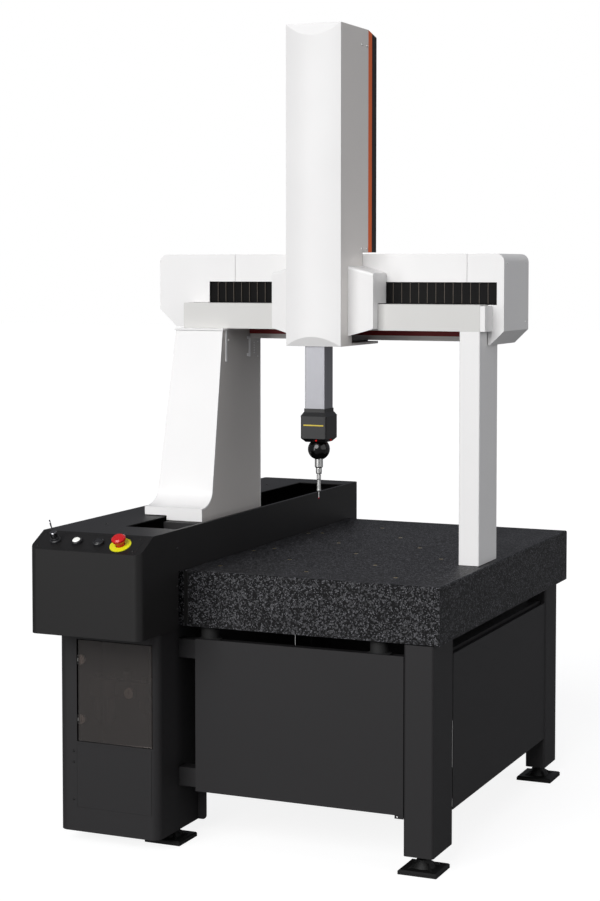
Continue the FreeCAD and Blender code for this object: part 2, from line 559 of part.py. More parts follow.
def panels():
    """Infill panels with folded upper and lower edges."""
    y0 = FRONT_RIGHT_POST[2] + GAP
    x1 = FRONT_RIGHT_POST[0] - FIT
    skin = block(FRONT_PANEL_LEFT, x1, y0, y0 + PANEL, PANEL_BOTTOM, PANEL_TOP)
    for z in (PANEL_BOTTOM, PANEL_TOP - PANEL):
        skin = skin.fuse(block(FRONT_PANEL_LEFT, x1, y0, y0 + PANEL_RETURN, z, z + PANEL))
    # a holed fixing tab hangs below the panel beside the post
    tab = block(x1 - TAB_WIDTH, x1, y0 + PANEL, y0 + 2 * PANEL, PANEL_BOTTOM - TAB_DROP, PANEL_BOTTOM + TAB_DROP)
    hole = Part.makeCylinder(TAB_HOLE, 3 * PANEL, V(x1 - TAB_WIDTH + 3 * TAB_HOLE, y0, PANEL_BOTTOM - TAB_DROP / 2),
                             V(0, 1, 0))
    front = skin.fuse(tab.cut(hole)).removeSplitter()

    x1 = FRONT_RIGHT_POST[1]
    y0 = FRONT_RIGHT_POST[3] + FIT
    y1 = REAR_RIGHT_POST[2] - FIT
    right = block(x1 - PANEL, x1, y0, y1, SIDE_PANEL_BOTTOM, SIDE_PANEL_TOP)
    for z in (SIDE_PANEL_BOTTOM, SIDE_PANEL_TOP - PANEL):
        right = right.fuse(block(x1 - PANEL_RETURN, x1, y0, y1, z, z + PANEL))
    x0 = REAR_LEFT_POST[0] - PANEL - FIT
    y0 = CABINET_BACK + BACK_PLATE_THICK + GAP
    left = block(x0, x0 + PANEL, y0, y1, SIDE_PANEL_BOTTOM, SIDE_PANEL_TOP)

    x0 = REAR_LEFT_POST[1] + FIT
    x1 = REAR_RIGHT_POST[0] - FIT
    y1 = REAR_RIGHT_POST[3]
    rear = block(x0, x1, y1 - PANEL, y1, SIDE_PANEL_BOTTOM, SIDE_PANEL_TOP)
    for z in (SIDE_PANEL_BOTTOM, SIDE_PANEL_TOP - PANEL):
        rear = rear.fuse(block(x0, x1, y1 - PANEL_RETURN, y1, z, z + PANEL))
    keep("stand_panels", front, right.removeSplitter(), left, rear.removeSplitter())


def foot_pad(x, y):
    """Square cast foot with a ribbed cone that takes the stud."""
    half = FOOT_SIZE / 2
    plate = block(x - half, x + half, y - half, y + half, 0, FOOT_PLATE)
    plate = plate.makeChamfer(3, [e for e in plate.Edges if e.BoundBox.ZMin > FOOT_PLATE - 0.01])
    hub = Part.makeCone(FOOT_HUB_RADIUS, FOOT_HUB_TOP_RADIUS, FOOT_HUB_TOP - FOOT_PLATE, V(x, y, FOOT_PLATE))
    shape = plate.fuse(hub)
    reach = half - 6
    for turn in (45, 135):
        rib = prism_x([(-reach, FOOT_PLATE), (reach, FOOT_PLATE), (14, FOOT_HUB_TOP - 3),
                       (-14, FOOT_HUB_TOP - 3)], -FOOT_RIB / 2, FOOT_RIB / 2)
        rib.rotate(V(0, 0, 0), V(0, 0, 1), turn)
        rib.translate(V(x, y, 0))
        shape = shape.fuse(rib)
    socket = rod(x, y, FOOT_PLATE + 2, FOOT_HUB_TOP + 1, STUD_RADIUS + 0.1)
    return shape.cut(socket)


def hex_nut(x, y, z0):
    """Hexagon nut round the stud."""
    corner = NUT_ACROSS_FLATS / math.sqrt(3)
    points = []
    for k in range(6):
        turn = math.radians(60 * k)
        points.append((x + corner * math.cos(turn), y + corner * math.sin(turn)))
    nut = prism_z(points, z0, z0 + NUT_HEIGHT)
    return nut.cut(rod(x, y, z0 - 1, z0 + NUT_HEIGHT + 1, STUD_RADIUS + THREAD_PLAY))


def feet():
    """Levelling feet: pad, threaded stud and lock nut under each post."""
    keep("foot_pads", *[foot_pad(x, y) for x, y in FEET])
    keep("foot_studs", *[rod(x, y, FOOT_PLATE + 2, STUD_TOP, STUD_RADIUS) for x, y in FEET])
    keep("foot_locknuts", *[hex_nut(x, y, POST_BOTTOM - NUT_HEIGHT) for x, y in FEET])


def granite_mounts():
    """Three damping mounts between the upper rails and the granite."""
    mounts = []
    height = TABLE_BOTTOM - UPPER_RAIL_TOP
    for x, y in GRANITE_MOUNTS:
        outline = [(0, 0), (MOUNT_RADIUS, 0), (MOUNT_RADIUS, 4), (24, 6), (24, height - 6),
                   (MOUNT_RADIUS - 4, height - 4), (MOUNT_RADIUS - 4, height), (0, height)]
        mounts.append(revolve_z([(r, UPPER_RAIL_TOP + z) for r, z in outline], x, y))
    keep("granite_mounts", *mounts)


# ---------------------------------------------------------------- table
def insert_places():
    """Quincunx of threaded inserts: odd and even rows are half a step apart."""
    places = []
    for row in range(INSERT_ROWS):
        for column in range(INSERT_COLUMNS):
            if (row + column) % 2 == 0:
                places.append((INSERT_FIRST_X + column * INSERT_PITCH_X, INSERT_FIRST_Y + row * INSERT_PITCH_Y))
    for k in range(2):
        places.append((EDGE_INSERT_X, TABLE_FRONT + EDGE_INSERT_FIRST_Y + k * EDGE_INSERT_PITCH_Y))
    return places


def table():
    """Granite surface plate with bronze inserts set flush in it."""
    slab = block(TABLE_LEFT, TABLE_RIGHT, TABLE_FRONT, TABLE_BACK, TABLE_BOTTOM, TABLE_TOP)
    rims = [e for e in slab.Edges if e.BoundBox.ZMin > TABLE_TOP - 0.01]
    slab = slab.makeChamfer(TABLE_CHAMFER, rims)
    places = insert_places()
    holes = [rod(x, y, TABLE_TOP - INSERT_LENGTH, TABLE_TOP + 1, INSERT_RADIUS) for x, y in places]
    keep("granite_table", slab.cut(Part.makeCompound(holes)))
    rings = []
    for x, y in places:
        ring = rod(x, y, TABLE_TOP - INSERT_LENGTH, TABLE_TOP, INSERT_RADIUS)
        rings.append(ring.cut(rod(x, y, TABLE_TOP - INSERT_LENGTH + 2, TABLE_TOP + 1, INSERT_HOLE_RADIUS)))
    keep("table_inserts", *rings)


def y_guide():
    """Ground guide bar the bridge runs on, with its scale and drive bar."""
    bar = block(GUIDE_LEFT, GUIDE_RIGHT, GUIDE_FRONT, GUIDE_BACK, TABLE_TOP, GUIDE_TOP)
    tops = [e for e in bar.Edges if e.BoundBox.ZMin > GUIDE_TOP - 0.01]
    scale = block(GUIDE_LEFT - SCALE_THICK, GUIDE_LEFT, GUIDE_FRONT + SCALE_INSET, GUIDE_BACK - SCALE_INSET,
                  TABLE_TOP + SCALE_LOW, TABLE_TOP + SCALE_LOW + SCALE_HEIGHT)
    keep("y_guide_bar", bar.makeChamfer(2, tops).fuse(scale).removeSplitter())
    y0 = GUIDE_FRONT + DRIVE_INSET
    y1 = GUIDE_BACK - DRIVE_INSET
    x0 = TABLE_LEFT + DRIVE_FROM_EDGE
    low = TABLE_TOP + DRIVE_FOOT
    drive = block(x0, x0 + DRIVE_THICK, y0, y1, low, low + DRIVE_HEIGHT)
    for y in (y0, y1 - DRIVE_FOOT):
        drive = drive.fuse(block(x0, x0 + DRIVE_THICK, y, y + DRIVE_FOOT, TABLE_TOP, low))
    keep("y_drive_bar", drive.removeSplitter())


# ---------------------------------------------------------------- guide cover and control box
def rounded_plan(x0, x1, y0, y1, z0, z1, radius, front):
    """Box with two rounded upright corners, at its front or at its back."""
    shape = block(x0, x1, y0, y1, z0, z1)
    place = y0 if front else y1
    corners = upright_edges(shape, lambda x, y: abs(y - place) < 0.01)
    return shape.makeFillet(radius, corners)


def slope_point(x, along, up=0.0):
    """Point on the sloped control face: distance down the slope and above it."""
    run = SLOPE_TOP_Y - FRONT
    length = math.hypot(run, SLOPE_DROP)
    down = V(0, -run / length, -SLOPE_DROP / length)
    normal = V(0, -SLOPE_DROP / length, run / length)
    return V(x, SLOPE_TOP_Y, COVER_TOP) + down * along + normal * up


SLOPE_NORMAL = slope_point(0, 0, 1) - slope_point(0, 0, 0)
SLOPE_LENGTH = math.hypot(SLOPE_TOP_Y - FRONT, SLOPE_DROP)


def slope_plate(x0, x1, a0, a1, up0, up1):
    """Plate parallel to the sloped face."""
    corners = [slope_point(x0, a0, up0), slope_point(x0, a1, up0), slope_point(x0, a1, up1), slope_point(x0, a0, up1)]
    return prism(corners, V(x1 - x0, 0, 0))


def switch_turned(outline, x):
    """Half profile of (radius, height) points turned about a switch's own axis."""
    centre = slope_point(x, CONTROL_ALONG)
    solid = revolve_z(outline, 0, 0)
    turn = FreeCAD.Rotation(V(0, 0, 1), SLOPE_NORMAL)
    solid.Placement = FreeCAD.Placement(centre, turn)
    return solid


def switch_xs():
    """Places of key switch, start button, signal button and emergency stop."""
    return [CONTROL_FIRST_X + k * CONTROL_PITCH for k in range(4)]


def control_box():
    """Folded front housing with the sloped control face."""
    outer = rounded_plan(LEFT, COVER_RIGHT, FRONT, COVER_FRONT, COVER_BOTTOM, COVER_TOP, CORNER, True)
    inner = rounded_plan(LEFT + SHEET, COVER_RIGHT - SHEET, FRONT + SHEET, COVER_FRONT + 1,
                         COVER_BOTTOM + SHEET, COVER_TOP - SHEET, CORNER - SHEET, True)
    above = 200.0
    wedge = slope_plate(LEFT - 10, COVER_RIGHT + 10, -above, SLOPE_LENGTH + above, 0, above)
    inner_wedge = slope_plate(LEFT - 10, COVER_RIGHT + 10, -above, SLOPE_LENGTH + above, -SHEET, above)
    shell = outer.cut(wedge).cut(inner.cut(inner_wedge))
    opening = slope_plate(LEFT + PANEL_MARGIN, COVER_RIGHT - PANEL_MARGIN - 12, PANEL_MARGIN,
                          SLOPE_LENGTH - PANEL_MARGIN, -PANEL_THICK - 2, 1)
    keep("control_box", shell.cut(opening))

    plate = slope_plate(LEFT + PANEL_MARGIN + FIT, COVER_RIGHT - PANEL_MARGIN - 12 - FIT, PANEL_MARGIN + FIT,
                        SLOPE_LENGTH - PANEL_MARGIN - FIT, -PANEL_THICK, 0)
    # a folded rim behind the opening's edge holds the plate
    rim = slope_plate(LEFT + 4, COVER_RIGHT - 12, 3.5, SLOPE_LENGTH - 3.5, -PANEL_THICK - 1.5, -PANEL_THICK)
    hollow = slope_plate(LEFT + 20, COVER_RIGHT - 34, 16, SLOPE_LENGTH - 16, -PANEL_THICK - 2, -PANEL_THICK + 0.1)
    plate = plate.fuse(rim.cut(hollow).common(inner.cut(inner_wedge))).removeSplitter()
    for x in switch_xs():
        plate = plate.cut(switch_turned([(0, -8), (SWITCH_HOLE, -8), (SWITCH_HOLE, 4), (0, 4)], x))
    keep("control_panel", plate)


def guide_cover():
    """Folded cover over the Y guide, open along a slot for the leg."""
    top = block(LEFT, COVER_RIGHT, COVER_FRONT, COVER_BACK, COVER_TOP - SHEET, COVER_TOP)
    slot = block(SLOT_LEFT, SLOT_RIGHT, SLOT_FRONT, SLOT_BACK, COVER_TOP - 2 * SHEET, COVER_TOP + 1)
    left = block(LEFT, LEFT + SHEET, COVER_FRONT, COVER_BACK, COVER_BOTTOM, COVER_TOP - SHEET)
    rim = block(SLOT_RIGHT, COVER_RIGHT, COVER_FRONT, COVER_BACK, TABLE_TOP + FIT, COVER_TOP - SHEET)
    rim = rim.cut(block(SLOT_RIGHT - 1, COVER_RIGHT - SHEET, COVER_FRONT - 1, COVER_BACK + 1,
                        TABLE_TOP + FIT + SHEET, COVER_TOP - 3 * SHEET))
    lip = block(SLOT_RIGHT, SLOT_RIGHT + SHEET, COVER_FRONT, COVER_BACK, COVER_TOP - 6 * SHEET, COVER_TOP - SHEET)
    floor = block(LEFT, LEFT + 60, COVER_FRONT, COVER_BACK, COVER_BOTTOM, COVER_BOTTOM + SHEET)
    strut_x = LEFT + SHEET
    shape = top.cut(slot).fuse([left, rim, lip, floor])
    for y in (COVER_FRONT + 40, (COVER_FRONT + COVER_BACK) / 2, COVER_BACK - 60):
        shape = shape.fuse(block(strut_x, TABLE_LEFT, y, y + 20, TABLE_BOTTOM + 30, TABLE_BOTTOM + 34))
    keep("guide_cover", shape.removeSplitter())

    outer = rounded_plan(LEFT, COVER_RIGHT, COVER_BACK, BACK, COVER_BOTTOM, COVER_TOP, REAR_CORNER, False)
    inner = rounded_plan(LEFT + SHEET, COVER_RIGHT - SHEET, COVER_BACK - 1, BACK - SHEET,
                         COVER_BOTTOM + SHEET, COVER_TOP - SHEET, REAR_CORNER - SHEET, False)
    keep("rear_cap", outer.cut(inner))


def switches():
    """Key switch, two push buttons and the emergency stop."""
    key_x, start_x, signal_x, stop_x = switch_xs()
    collars = []
    bore = BUTTON_RADIUS + RUNNING
    for x in (start_x, signal_x):
        outline = [(bore, -6), (SWITCH_HOLE - 0.1, -6), (SWITCH_HOLE - 0.1, 0.0), (COLLAR_RADIUS, 0.0),
                   (COLLAR_RADIUS, COLLAR_HEIGHT - 2), (COLLAR_RADIUS - 2, COLLAR_HEIGHT), (bore, COLLAR_HEIGHT)]
        collars.append(switch_turned(outline, x))
    barrel = KEY_BARREL_RADIUS
    outline = [(0, -6), (barrel + 1, -6), (barrel + 1, 0.0), (COLLAR_RADIUS, 0.0), (COLLAR_RADIUS, 6),
               (barrel + 3, 8), (barrel + 3, 12), (barrel, 13), (0, 13)]
    collars.append(switch_turned(outline, key_x))
    keep("switch_collars", *collars)
    for name, x in (("start_button", start_x), ("signal_button", signal_x)):
        outline = [(0, -4), (BUTTON_RADIUS, -4), (BUTTON_RADIUS, COLLAR_HEIGHT - 1),
                   (BUTTON_RADIUS - 2, COLLAR_HEIGHT + 0.8), (0, COLLAR_HEIGHT + 1.4)]
        keep(name, switch_turned(outline, x))

    base = 13 + RUNNING
    plug = switch_turned([(0, base), (barrel, base), (barrel, KEY_BARREL_HEIGHT + 6),
                          (barrel - 2, KEY_BARREL_HEIGHT + 8), (0, KEY_BARREL_HEIGHT + 8)], key_x)
    blade = key_shape()
    keep("switch_key", plug.fuse(blade.removeSplitter()))

    neck = ESTOP_NECK
    disc = [(neck + 1, 0), (ESTOP_DISC_RADIUS, 0), (ESTOP_DISC_RADIUS, ESTOP_DISC_THICK), (neck + 1, ESTOP_DISC_THICK)]
    keep("estop_disc", switch_turned(disc, stop_x))
    head = [(0, -5), (SWITCH_HOLE - 1, -5), (SWITCH_HOLE - 1, ESTOP_DISC_THICK + 5.5),
            (neck + 1, ESTOP_DISC_THICK + 5.5), (ESTOP_RADIUS - 1, 16), (ESTOP_RADIUS, 18), (ESTOP_RADIUS, 23),
            (ESTOP_RADIUS - 4, ESTOP_HEIGHT - 0.6), (0, ESTOP_HEIGHT)]
    keep("estop_button", switch_turned(head, stop_x))


def key_shape():
    """Flat key: thin shank and a round bow, standing out of the lock."""
    foot = KEY_BARREL_HEIGHT + 6
    shank = block(-KEY_THICK / 2, KEY_THICK / 2, -3.5, 3.5, foot, foot + KEY_LENGTH - 8)
    bow = Part.makeCylinder(KEY_BOW_RADIUS, KEY_THICK, V(-KEY_THICK / 2, 0, foot + KEY_LENGTH - KEY_BOW_RADIUS),
                            V(1, 0, 0))
    key = shank.fuse(bow)
    key.rotate(V(0, 0, 0), V(0, 0, 1), KEY_TURN)
    key = key.copy()
    place = FreeCAD.Placement(slope_point(switch_xs()[0], CONTROL_ALONG), FreeCAD.Rotation(V(0, 0, 1), SLOPE_NORMAL))
    key.Placement = place.multiply(key.Placement)
    return key


# ---------------------------------------------------------------- air cabinet
def cabinet():
    """Sheet housing of the compressed-air unit, hung under the control box."""
    top = COVER_BOTTOM - FIT
    outer = rounded_plan(LEFT, CABINET_RIGHT, CABINET_FRONT, CABINET_BACK, CABINET_BOTTOM, top, CABINET_CORNER, True)
    inner = rounded_plan(LEFT + SHEET, CABINET_RIGHT - SHEET, CABINET_FRONT + SHEET, CABINET_BACK + 1,
                         CABINET_BOTTOM - 1, top + 1, CABINET_CORNER - SHEET, True)
    shell = outer.cut(inner)
    door_hole = block(DOOR_LEFT - DOOR_HINGE_GAP, DOOR_RIGHT + DOOR_GAP, CABINET_FRONT - 1,
                      CABINET_FRONT + CABINET_CORNER / 2, DOOR_BOTTOM - DOOR_GAP, DOOR_TOP + DOOR_GAP)
    shell = shell.cut(door_hole)
    rail_y0 = GRANITE_MOUNTS[0][1] - RAIL_WIDTH / 2
    for z in (UPPER_RAIL_TOP, LOWER_RAIL_TOP):
        shell = shell.cut(block(CABINET_RIGHT - 5, CABINET_RIGHT + 5, rail_y0 - 1, rail_y0 + RAIL_WIDTH + 1,
                                z - RAIL_HEIGHT - 1, z + 1))
    keep("cabinet_shell", shell)

    plate = block(LEFT, BACK_PLATE_RIGHT, CABINET_BACK + 0.2, CABINET_BACK + BACK_PLATE_THICK, CABINET_BOTTOM, top)
    left_x = REAR_LEFT_POST[0] + LEFT_RAIL_INSET
    for z in (UPPER_RAIL_TOP, LOWER_RAIL_TOP):
        plate = plate.cut(block(left_x - 0.2, left_x + RAIL_WIDTH + 0.2, CABINET_BACK - 5, CABINET_BACK + 10,
                                z - RAIL_HEIGHT - 0.2, z + 0.2))
    plate = plate.makeFillet(12, [e for e in plate.Edges if e.BoundBox.XMin > BACK_PLATE_RIGHT - 0.01
                                  and e.BoundBox.ZMax < CABINET_BOTTOM + 0.01 and e.BoundBox.YLength > 1])
    keep("cabinet_back_plate", plate)


def cabinet_door():
    """Smoked acrylic door on two cup hinges."""
    panel = block(DOOR_LEFT, DOOR_RIGHT, CABINET_FRONT, CABINET_FRONT + DOOR_THICK, DOOR_BOTTOM, DOOR_TOP)
    panel = panel.makeFillet(1.0, upright_edges(panel, lambda x, y: y < CABINET_FRONT + 0.01))
    keep("cabinet_door", panel)
    cups = []
    sockets = []
    y0 = CABINET_FRONT + DOOR_THICK
    for z in HINGE_HEIGHTS:
        cup = Part.makeCylinder(CUP_RADIUS, CUP_THICK, V(DOOR_LEFT + 4, y0, z), V(0, 1, 0))
        cup = cup.cut(block(DOOR_LEFT - 20, DOOR_LEFT + 1, y0 - 1, y0 + 20, z - 20, z + 20))
        pin = rod(HINGE_X, HINGE_Y, z - 12, z + 12, HINGE_PIN)
        arm = block(HINGE_X - 0.5, DOOR_LEFT + 3, y0 + 1, y0 + 3, z - 4, z + 4)
        drop = block(HINGE_X - 0.5, HINGE_X + 0.9, HINGE_Y, y0 + 3, z - 4, z + 4)
        cups.append(cup.fuse([pin, arm, drop]).removeSplitter())
        for side in (-1, 1):
            z0 = z + (4.5 if side > 0 else -11.5)
            eye = rod(HINGE_X, HINGE_Y, z0, z0 + 7, HINGE_PIN + 0.6)
            tail = block(HINGE_X - 12, HINGE_X, CABINET_FRONT + SHEET + 0.01, CABINET_FRONT + SHEET + 1.5, z0, z0 + 7)
            web = block(HINGE_X - 1.5, HINGE_X, HINGE_Y, CABINET_FRONT + SHEET + 1.5, z0, z0 + 7)
            socket = eye.fuse([tail, web]).cut(rod(HINGE_X, HINGE_Y, z0 - 1, z0 + 8, HINGE_PIN + 0.05))
            sockets.append(socket)
    keep("door_hinge_cups", *cups)
    keep("door_hinge_eyes", *sockets)


def bowl(x, z0, z1, radius):
    """Filter bowl with a drain nipple."""
    outline = [(0, z0), (3, z0), (3, z0 + 8), (radius - 4, z0 + 10), (radius, z0 + 16), (radius, z1), (0, z1)]
    return revolve_z(outline, x, AIR_UNIT_Y)


def air_unit():
    """Two filters, a regulator with its gauge and a mist separator on a bracket."""
    half = FILTER_HEAD_WIDTH / 2
    filters = []
    for x in FILTER_XS:
        head = block(x - half, x + half, AIR_UNIT_Y - half, AIR_UNIT_Y + half, FILTER_HEAD_BOTTOM, FILTER_HEAD_TOP)
        head = head.makeFillet(4, upright_edges(head, lambda px, py: True))
        cap = rod(x, AIR_UNIT_Y, FILTER_HEAD_TOP, FILTER_HEAD_TOP + 12, 9)
        filters.append(head.fuse([cap, bowl(x, BOWL_BOTTOM, FILTER_HEAD_BOTTOM, BOWL_RADIUS)]).removeSplitter())

    body_top = FILTER_HEAD_TOP - 4
    x0 = FILTER_XS[1] + half
    body = block(x0, SEPARATOR_X - 14, AIR_UNIT_Y - 14, AIR_UNIT_Y + 16, FILTER_HEAD_BOTTOM + 8, body_top)
    body = body.makeFillet(4, upright_edges(body, lambda px, py: py < AIR_UNIT_Y))
    knob = revolve_z([(0, body_top), (10, body_top), (10, body_top + 5), (12, body_top + 7), (12, body_top + 26),
                      (10, body_top + 29), (0, body_top + 29)], REGULATOR_X, AIR_UNIT_Y)
    keep("air_regulator", body.fuse(knob).removeSplitter())

    head = block(SEPARATOR_X - 14, SEPARATOR_X + 14, AIR_UNIT_Y - 15, AIR_UNIT_Y + 16, FILTER_HEAD_BOTTOM + 4, body_top)
    head = head.fuse([rod(SEPARATOR_X, AIR_UNIT_Y, body_top, body_top + 14, 8),
                      bowl(SEPARATOR_X, DOOR_BOTTOM + SEPARATOR_BOTTOM, FILTER_HEAD_BOTTOM + 4, 13)])
    filters.append(head.removeSplitter())
    keep("air_filters", *filters)

    y1 = AIR_UNIT_Y - 14
    case = Part.makeCylinder(GAUGE_RADIUS, 10, V(GAUGE_X, y1 - 14, GAUGE_Z), V(0, 1, 0))
    stem = Part.makeCylinder(4, 4, V(GAUGE_X, y1 - 4, GAUGE_Z), V(0, 1, 0))
    keep("pressure_gauge", case.fuse(stem).removeSplitter())

    y0 = AIR_UNIT_Y + half
    plate = block(FILTER_XS[0] - half, SEPARATOR_X + 14, y0, y0 + 3, FILTER_HEAD_BOTTOM + 6, FILTER_HEAD_TOP - 4)
    arm_x = FRONT_LEFT_POST[0] + 6
    arm = block(arm_x, arm_x + 3, y0, FRONT_LEFT_POST[2], FILTER_HEAD_BOTTOM + 6, FILTER_HEAD_TOP - 4)
    foot = block(arm_x, arm_x + 25, FRONT_LEFT_POST[2] - 3, FRONT_LEFT_POST[2], FILTER_HEAD_BOTTOM + 6,
                 FILTER_HEAD_TOP - 4)
    pads = [block(SEPARATOR_X - 10, SEPARATOR_X + 10, AIR_UNIT_Y + 16, y0, FILTER_HEAD_BOTTOM + 8, FILTER_HEAD_TOP - 8),
            block(REGULATOR_X - 10, REGULATOR_X + 10, AIR_UNIT_Y + 16, y0, FILTER_HEAD_BOTTOM + 12, FILTER_HEAD_TOP - 8)]
    keep("air_unit_bracket", plate.fuse([arm, foot] + pads).removeSplitter())


# ---------------------------------------------------------------- bridge
def leg_outer_x(z):
    """Outer side of the left leg, leaning in as it rises, with a flare above the foot."""
    if z <= FOOT_TOP_Z:
        return LEG_FOOT_OUTER
    if z < LEG_FLARE_Z:
        rise = (z - FOOT_TOP_Z) / (LEG_FLARE_Z - FOOT_TOP_Z)
        return LEG_FOOT_OUTER + (LEG_KNEE_OUTER - LEG_FOOT_OUTER) * math.sqrt(rise)
    share = (z - LEG_FLARE_Z) / (LEG_TOP_Z - LEG_FLARE_Z)
    return LEG_KNEE_OUTER + (LEG_TOP_OUTER - LEG_KNEE_OUTER) * share


def leg_profile(inset, bottom):
    """Side outline of the left leg: sloped front, flared foot, upright back."""
    top = LEG_TOP_Z - LEG_CAP
    front_top = LEG_FRONT_TOP + inset
    knee = V(0, LEG_FRONT_BOTTOM + inset, LEG_FLARE_Z)
    toe = V(0, FOOT_FRONT + inset, FOOT_TOP_Z - inset)
    lean = (front_top - knee.y) / (top - knee.z)
    reach = 0.55 * (knee.z - toe.z)
    poles = [knee, knee - V(0, lean * reach, reach), toe + V(0, 0.55 * (knee.y - toe.y), 0), toe]
    flare = Part.BezierCurve()
    flare.setPoles(poles)
    corners = [toe, V(0, toe.y, bottom), V(0, LEG_REAR - inset, bottom), V(0, LEG_REAR - inset, top),
               V(0, front_top, top), knee]
    edges = [flare.toShape()]
    for first, second in zip(corners[:-1], corners[1:]):
        edges.append(Part.LineSegment(first, second).toShape())
    return Part.Wire(Part.__sortEdges__(edges))


def leg_solid(inset, bottom, inner):
    """Left leg outline pushed across and cut to its leaning outer side."""
    start = LEG_FOOT_OUTER - 20
    body = Part.Face(leg_profile(inset, bottom)).extrude(V(inner - start, 0, 0))
    body.translate(V(start, 0, 0))
    low = bottom - 10
    high = LEG_TOP_Z + 10
    outline = [(start - 10, low), (leg_outer_x(low) + inset, low)]
    for share in (0.0, 0.15, 0.4, 1.0):
        z = FOOT_TOP_Z + share * (LEG_FLARE_Z - FOOT_TOP_Z)
        outline.append((leg_outer_x(z) + inset, z))
    outline += [(leg_outer_x(high) + inset, high), (start - 10, high)]
    return body.cut(prism_y(outline, FOOT_FRONT - 20, LEG_REAR + 20))


def left_leg():
    """Left leg: inner grey casting, white outer shell, cap, and its base in the slot."""
    overhang = COVER_TOP + FOOT_OVERHANG_GAP
    dip = COVER_TOP - FOOT_DIP
    shell = leg_solid(0, dip, LEG_INNER)
    shell = shell.cut(block(LEG_FOOT_OUTER - 5, SLOT_LEFT + 3, FOOT_FRONT - 5, LEG_REAR + 5, dip - 5, overhang))
    shell = shell.cut(leg_solid(LEG_WALL, dip - 30, LEG_INNER + 5))
    z0 = LEG_TOP_Z - LEG_CAP
    over = LEG_CAP_OVERHANG
    cap = block(LEG_TOP_OUTER - over, LEG_INNER + over, LEG_FRONT_TOP - over, LEG_REAR, z0, LEG_TOP_Z)
    keep("left_leg_cover", shell.fuse(cap).removeSplitter())

    core = leg_solid(LEG_WALL + FIT, dip - 30, LEG_INNER - FIT)
    core = core.cut(block(LEG_FOOT_OUTER - 5, SLOT_LEFT + 8, FOOT_FRONT - 5, LEG_REAR + 5, dip - 40, FOOT_TOP_Z - 8))
    core = core.cut(block(LEG_FOOT_OUTER - 5, LEG_INNER + 5, FOOT_FRONT - 5, LEG_REAR + 5, dip - 40, BASE_PLATE_TOP))
    pocket = leg_solid(LEG_WALL + 12, dip - 30, LEG_INNER - 10)
    pocket = pocket.cut(block(LEG_FOOT_OUTER - 5, LEG_INNER + 5, FOOT_FRONT - 5, LEG_REAR + 5, dip - 40, FOOT_TOP_Z + 6))
    pocket = pocket.cut(block(LEG_FOOT_OUTER - 5, LEG_INNER + 5, FOOT_FRONT - 5, LEG_REAR + 5, LEG_TOP_Z - 24,
                              LEG_TOP_Z + 20))
    keep("left_leg", core.cut(pocket))

    low = BASE_PLATE_TOP - BASE_PLATE_THICK
    plate = block(SLOT_LEFT + BASE_PLATE_PLAY, SLOT_RIGHT - BASE_PLATE_PLAY, BASE_PLATE_FRONT, BASE_PLATE_BACK, low,
                  BASE_PLATE_TOP)
    for x in (GUIDE_LEFT - CHEEK_GAP - CHEEK_THICK, GUIDE_RIGHT + CHEEK_GAP):
        plate = plate.fuse(block(x, x + CHEEK_THICK, BASE_PLATE_FRONT + CHEEK_THICK, BASE_PLATE_BACK - CHEEK_THICK,
                                 TABLE_TOP + CHEEK_LIFT, low))
    keep("leg_base", plate.removeSplitter())


def air_pads():
    """Air bearings of the bridge: on the guide bar, beside it and under the right leg."""
    low = BASE_PLATE_TOP - BASE_PLATE_THICK
    middle = (GUIDE_LEFT + GUIDE_RIGHT) / 2
    pads = []
    for y in (BASE_PLATE_FRONT + PAD_INSET, BASE_PLATE_BACK - PAD_INSET):
        pads.append(rod(middle, y, GUIDE_TOP + AIR_GAP, low, PAD_RADIUS))
        z = (TABLE_TOP + GUIDE_TOP) / 2 + 3
        place = V(GUIDE_RIGHT + AIR_GAP, y, z)
        pads.append(Part.makeCylinder(SIDE_PAD_RADIUS, CHEEK_GAP - AIR_GAP, place, V(1, 0, 0)))
    z1 = TABLE_TOP + AIR_GAP + PAD_THICK
    middle = RIGHT_LEG_X + RIGHT_LEG_WIDTH / 2
    for y in (RIGHT_LEG_FRONT + LEG_PAD_INSET, RIGHT_LEG_FRONT + RIGHT_LEG_DEPTH - LEG_PAD_INSET):
        pad = rod(middle, y, TABLE_TOP + AIR_GAP, z1, PAD_RADIUS - 1.5)
        pads.append(pad.fuse(rod(middle, y, z1, TABLE_TOP + LEG_WEB_LOW, 7)))
    keep("bridge_air_pads", *pads)


def right_leg():
    """Slim tube that stands on the granite on two air pads."""
    x0 = RIGHT_LEG_X
    x1 = RIGHT_LEG_X + RIGHT_LEG_WIDTH
    y0 = RIGHT_LEG_FRONT
    y1 = RIGHT_LEG_FRONT + RIGHT_LEG_DEPTH
    z0 = TABLE_TOP + RIGHT_LEG_LIFT
    outer = block(x0, x1, y0, y1, z0, LEG_TOP_Z)
    outer = outer.makeFillet(3.5, upright_edges(outer, lambda x, y: True))
    inner = block(x0 + LEG_WALL, x1 - LEG_WALL, y0 + LEG_WALL, y1 - LEG_WALL, z0 - 1, LEG_TOP_Z - LEG_WEB_THICK)
    web = block(x0 + LEG_WALL, x1 - LEG_WALL, y0 + LEG_WALL, y1 - LEG_WALL, TABLE_TOP + LEG_WEB_LOW,
                TABLE_TOP + LEG_WEB_LOW + LEG_WEB_THICK)
    keep("right_leg", outer.cut(inner).fuse(web).removeSplitter())


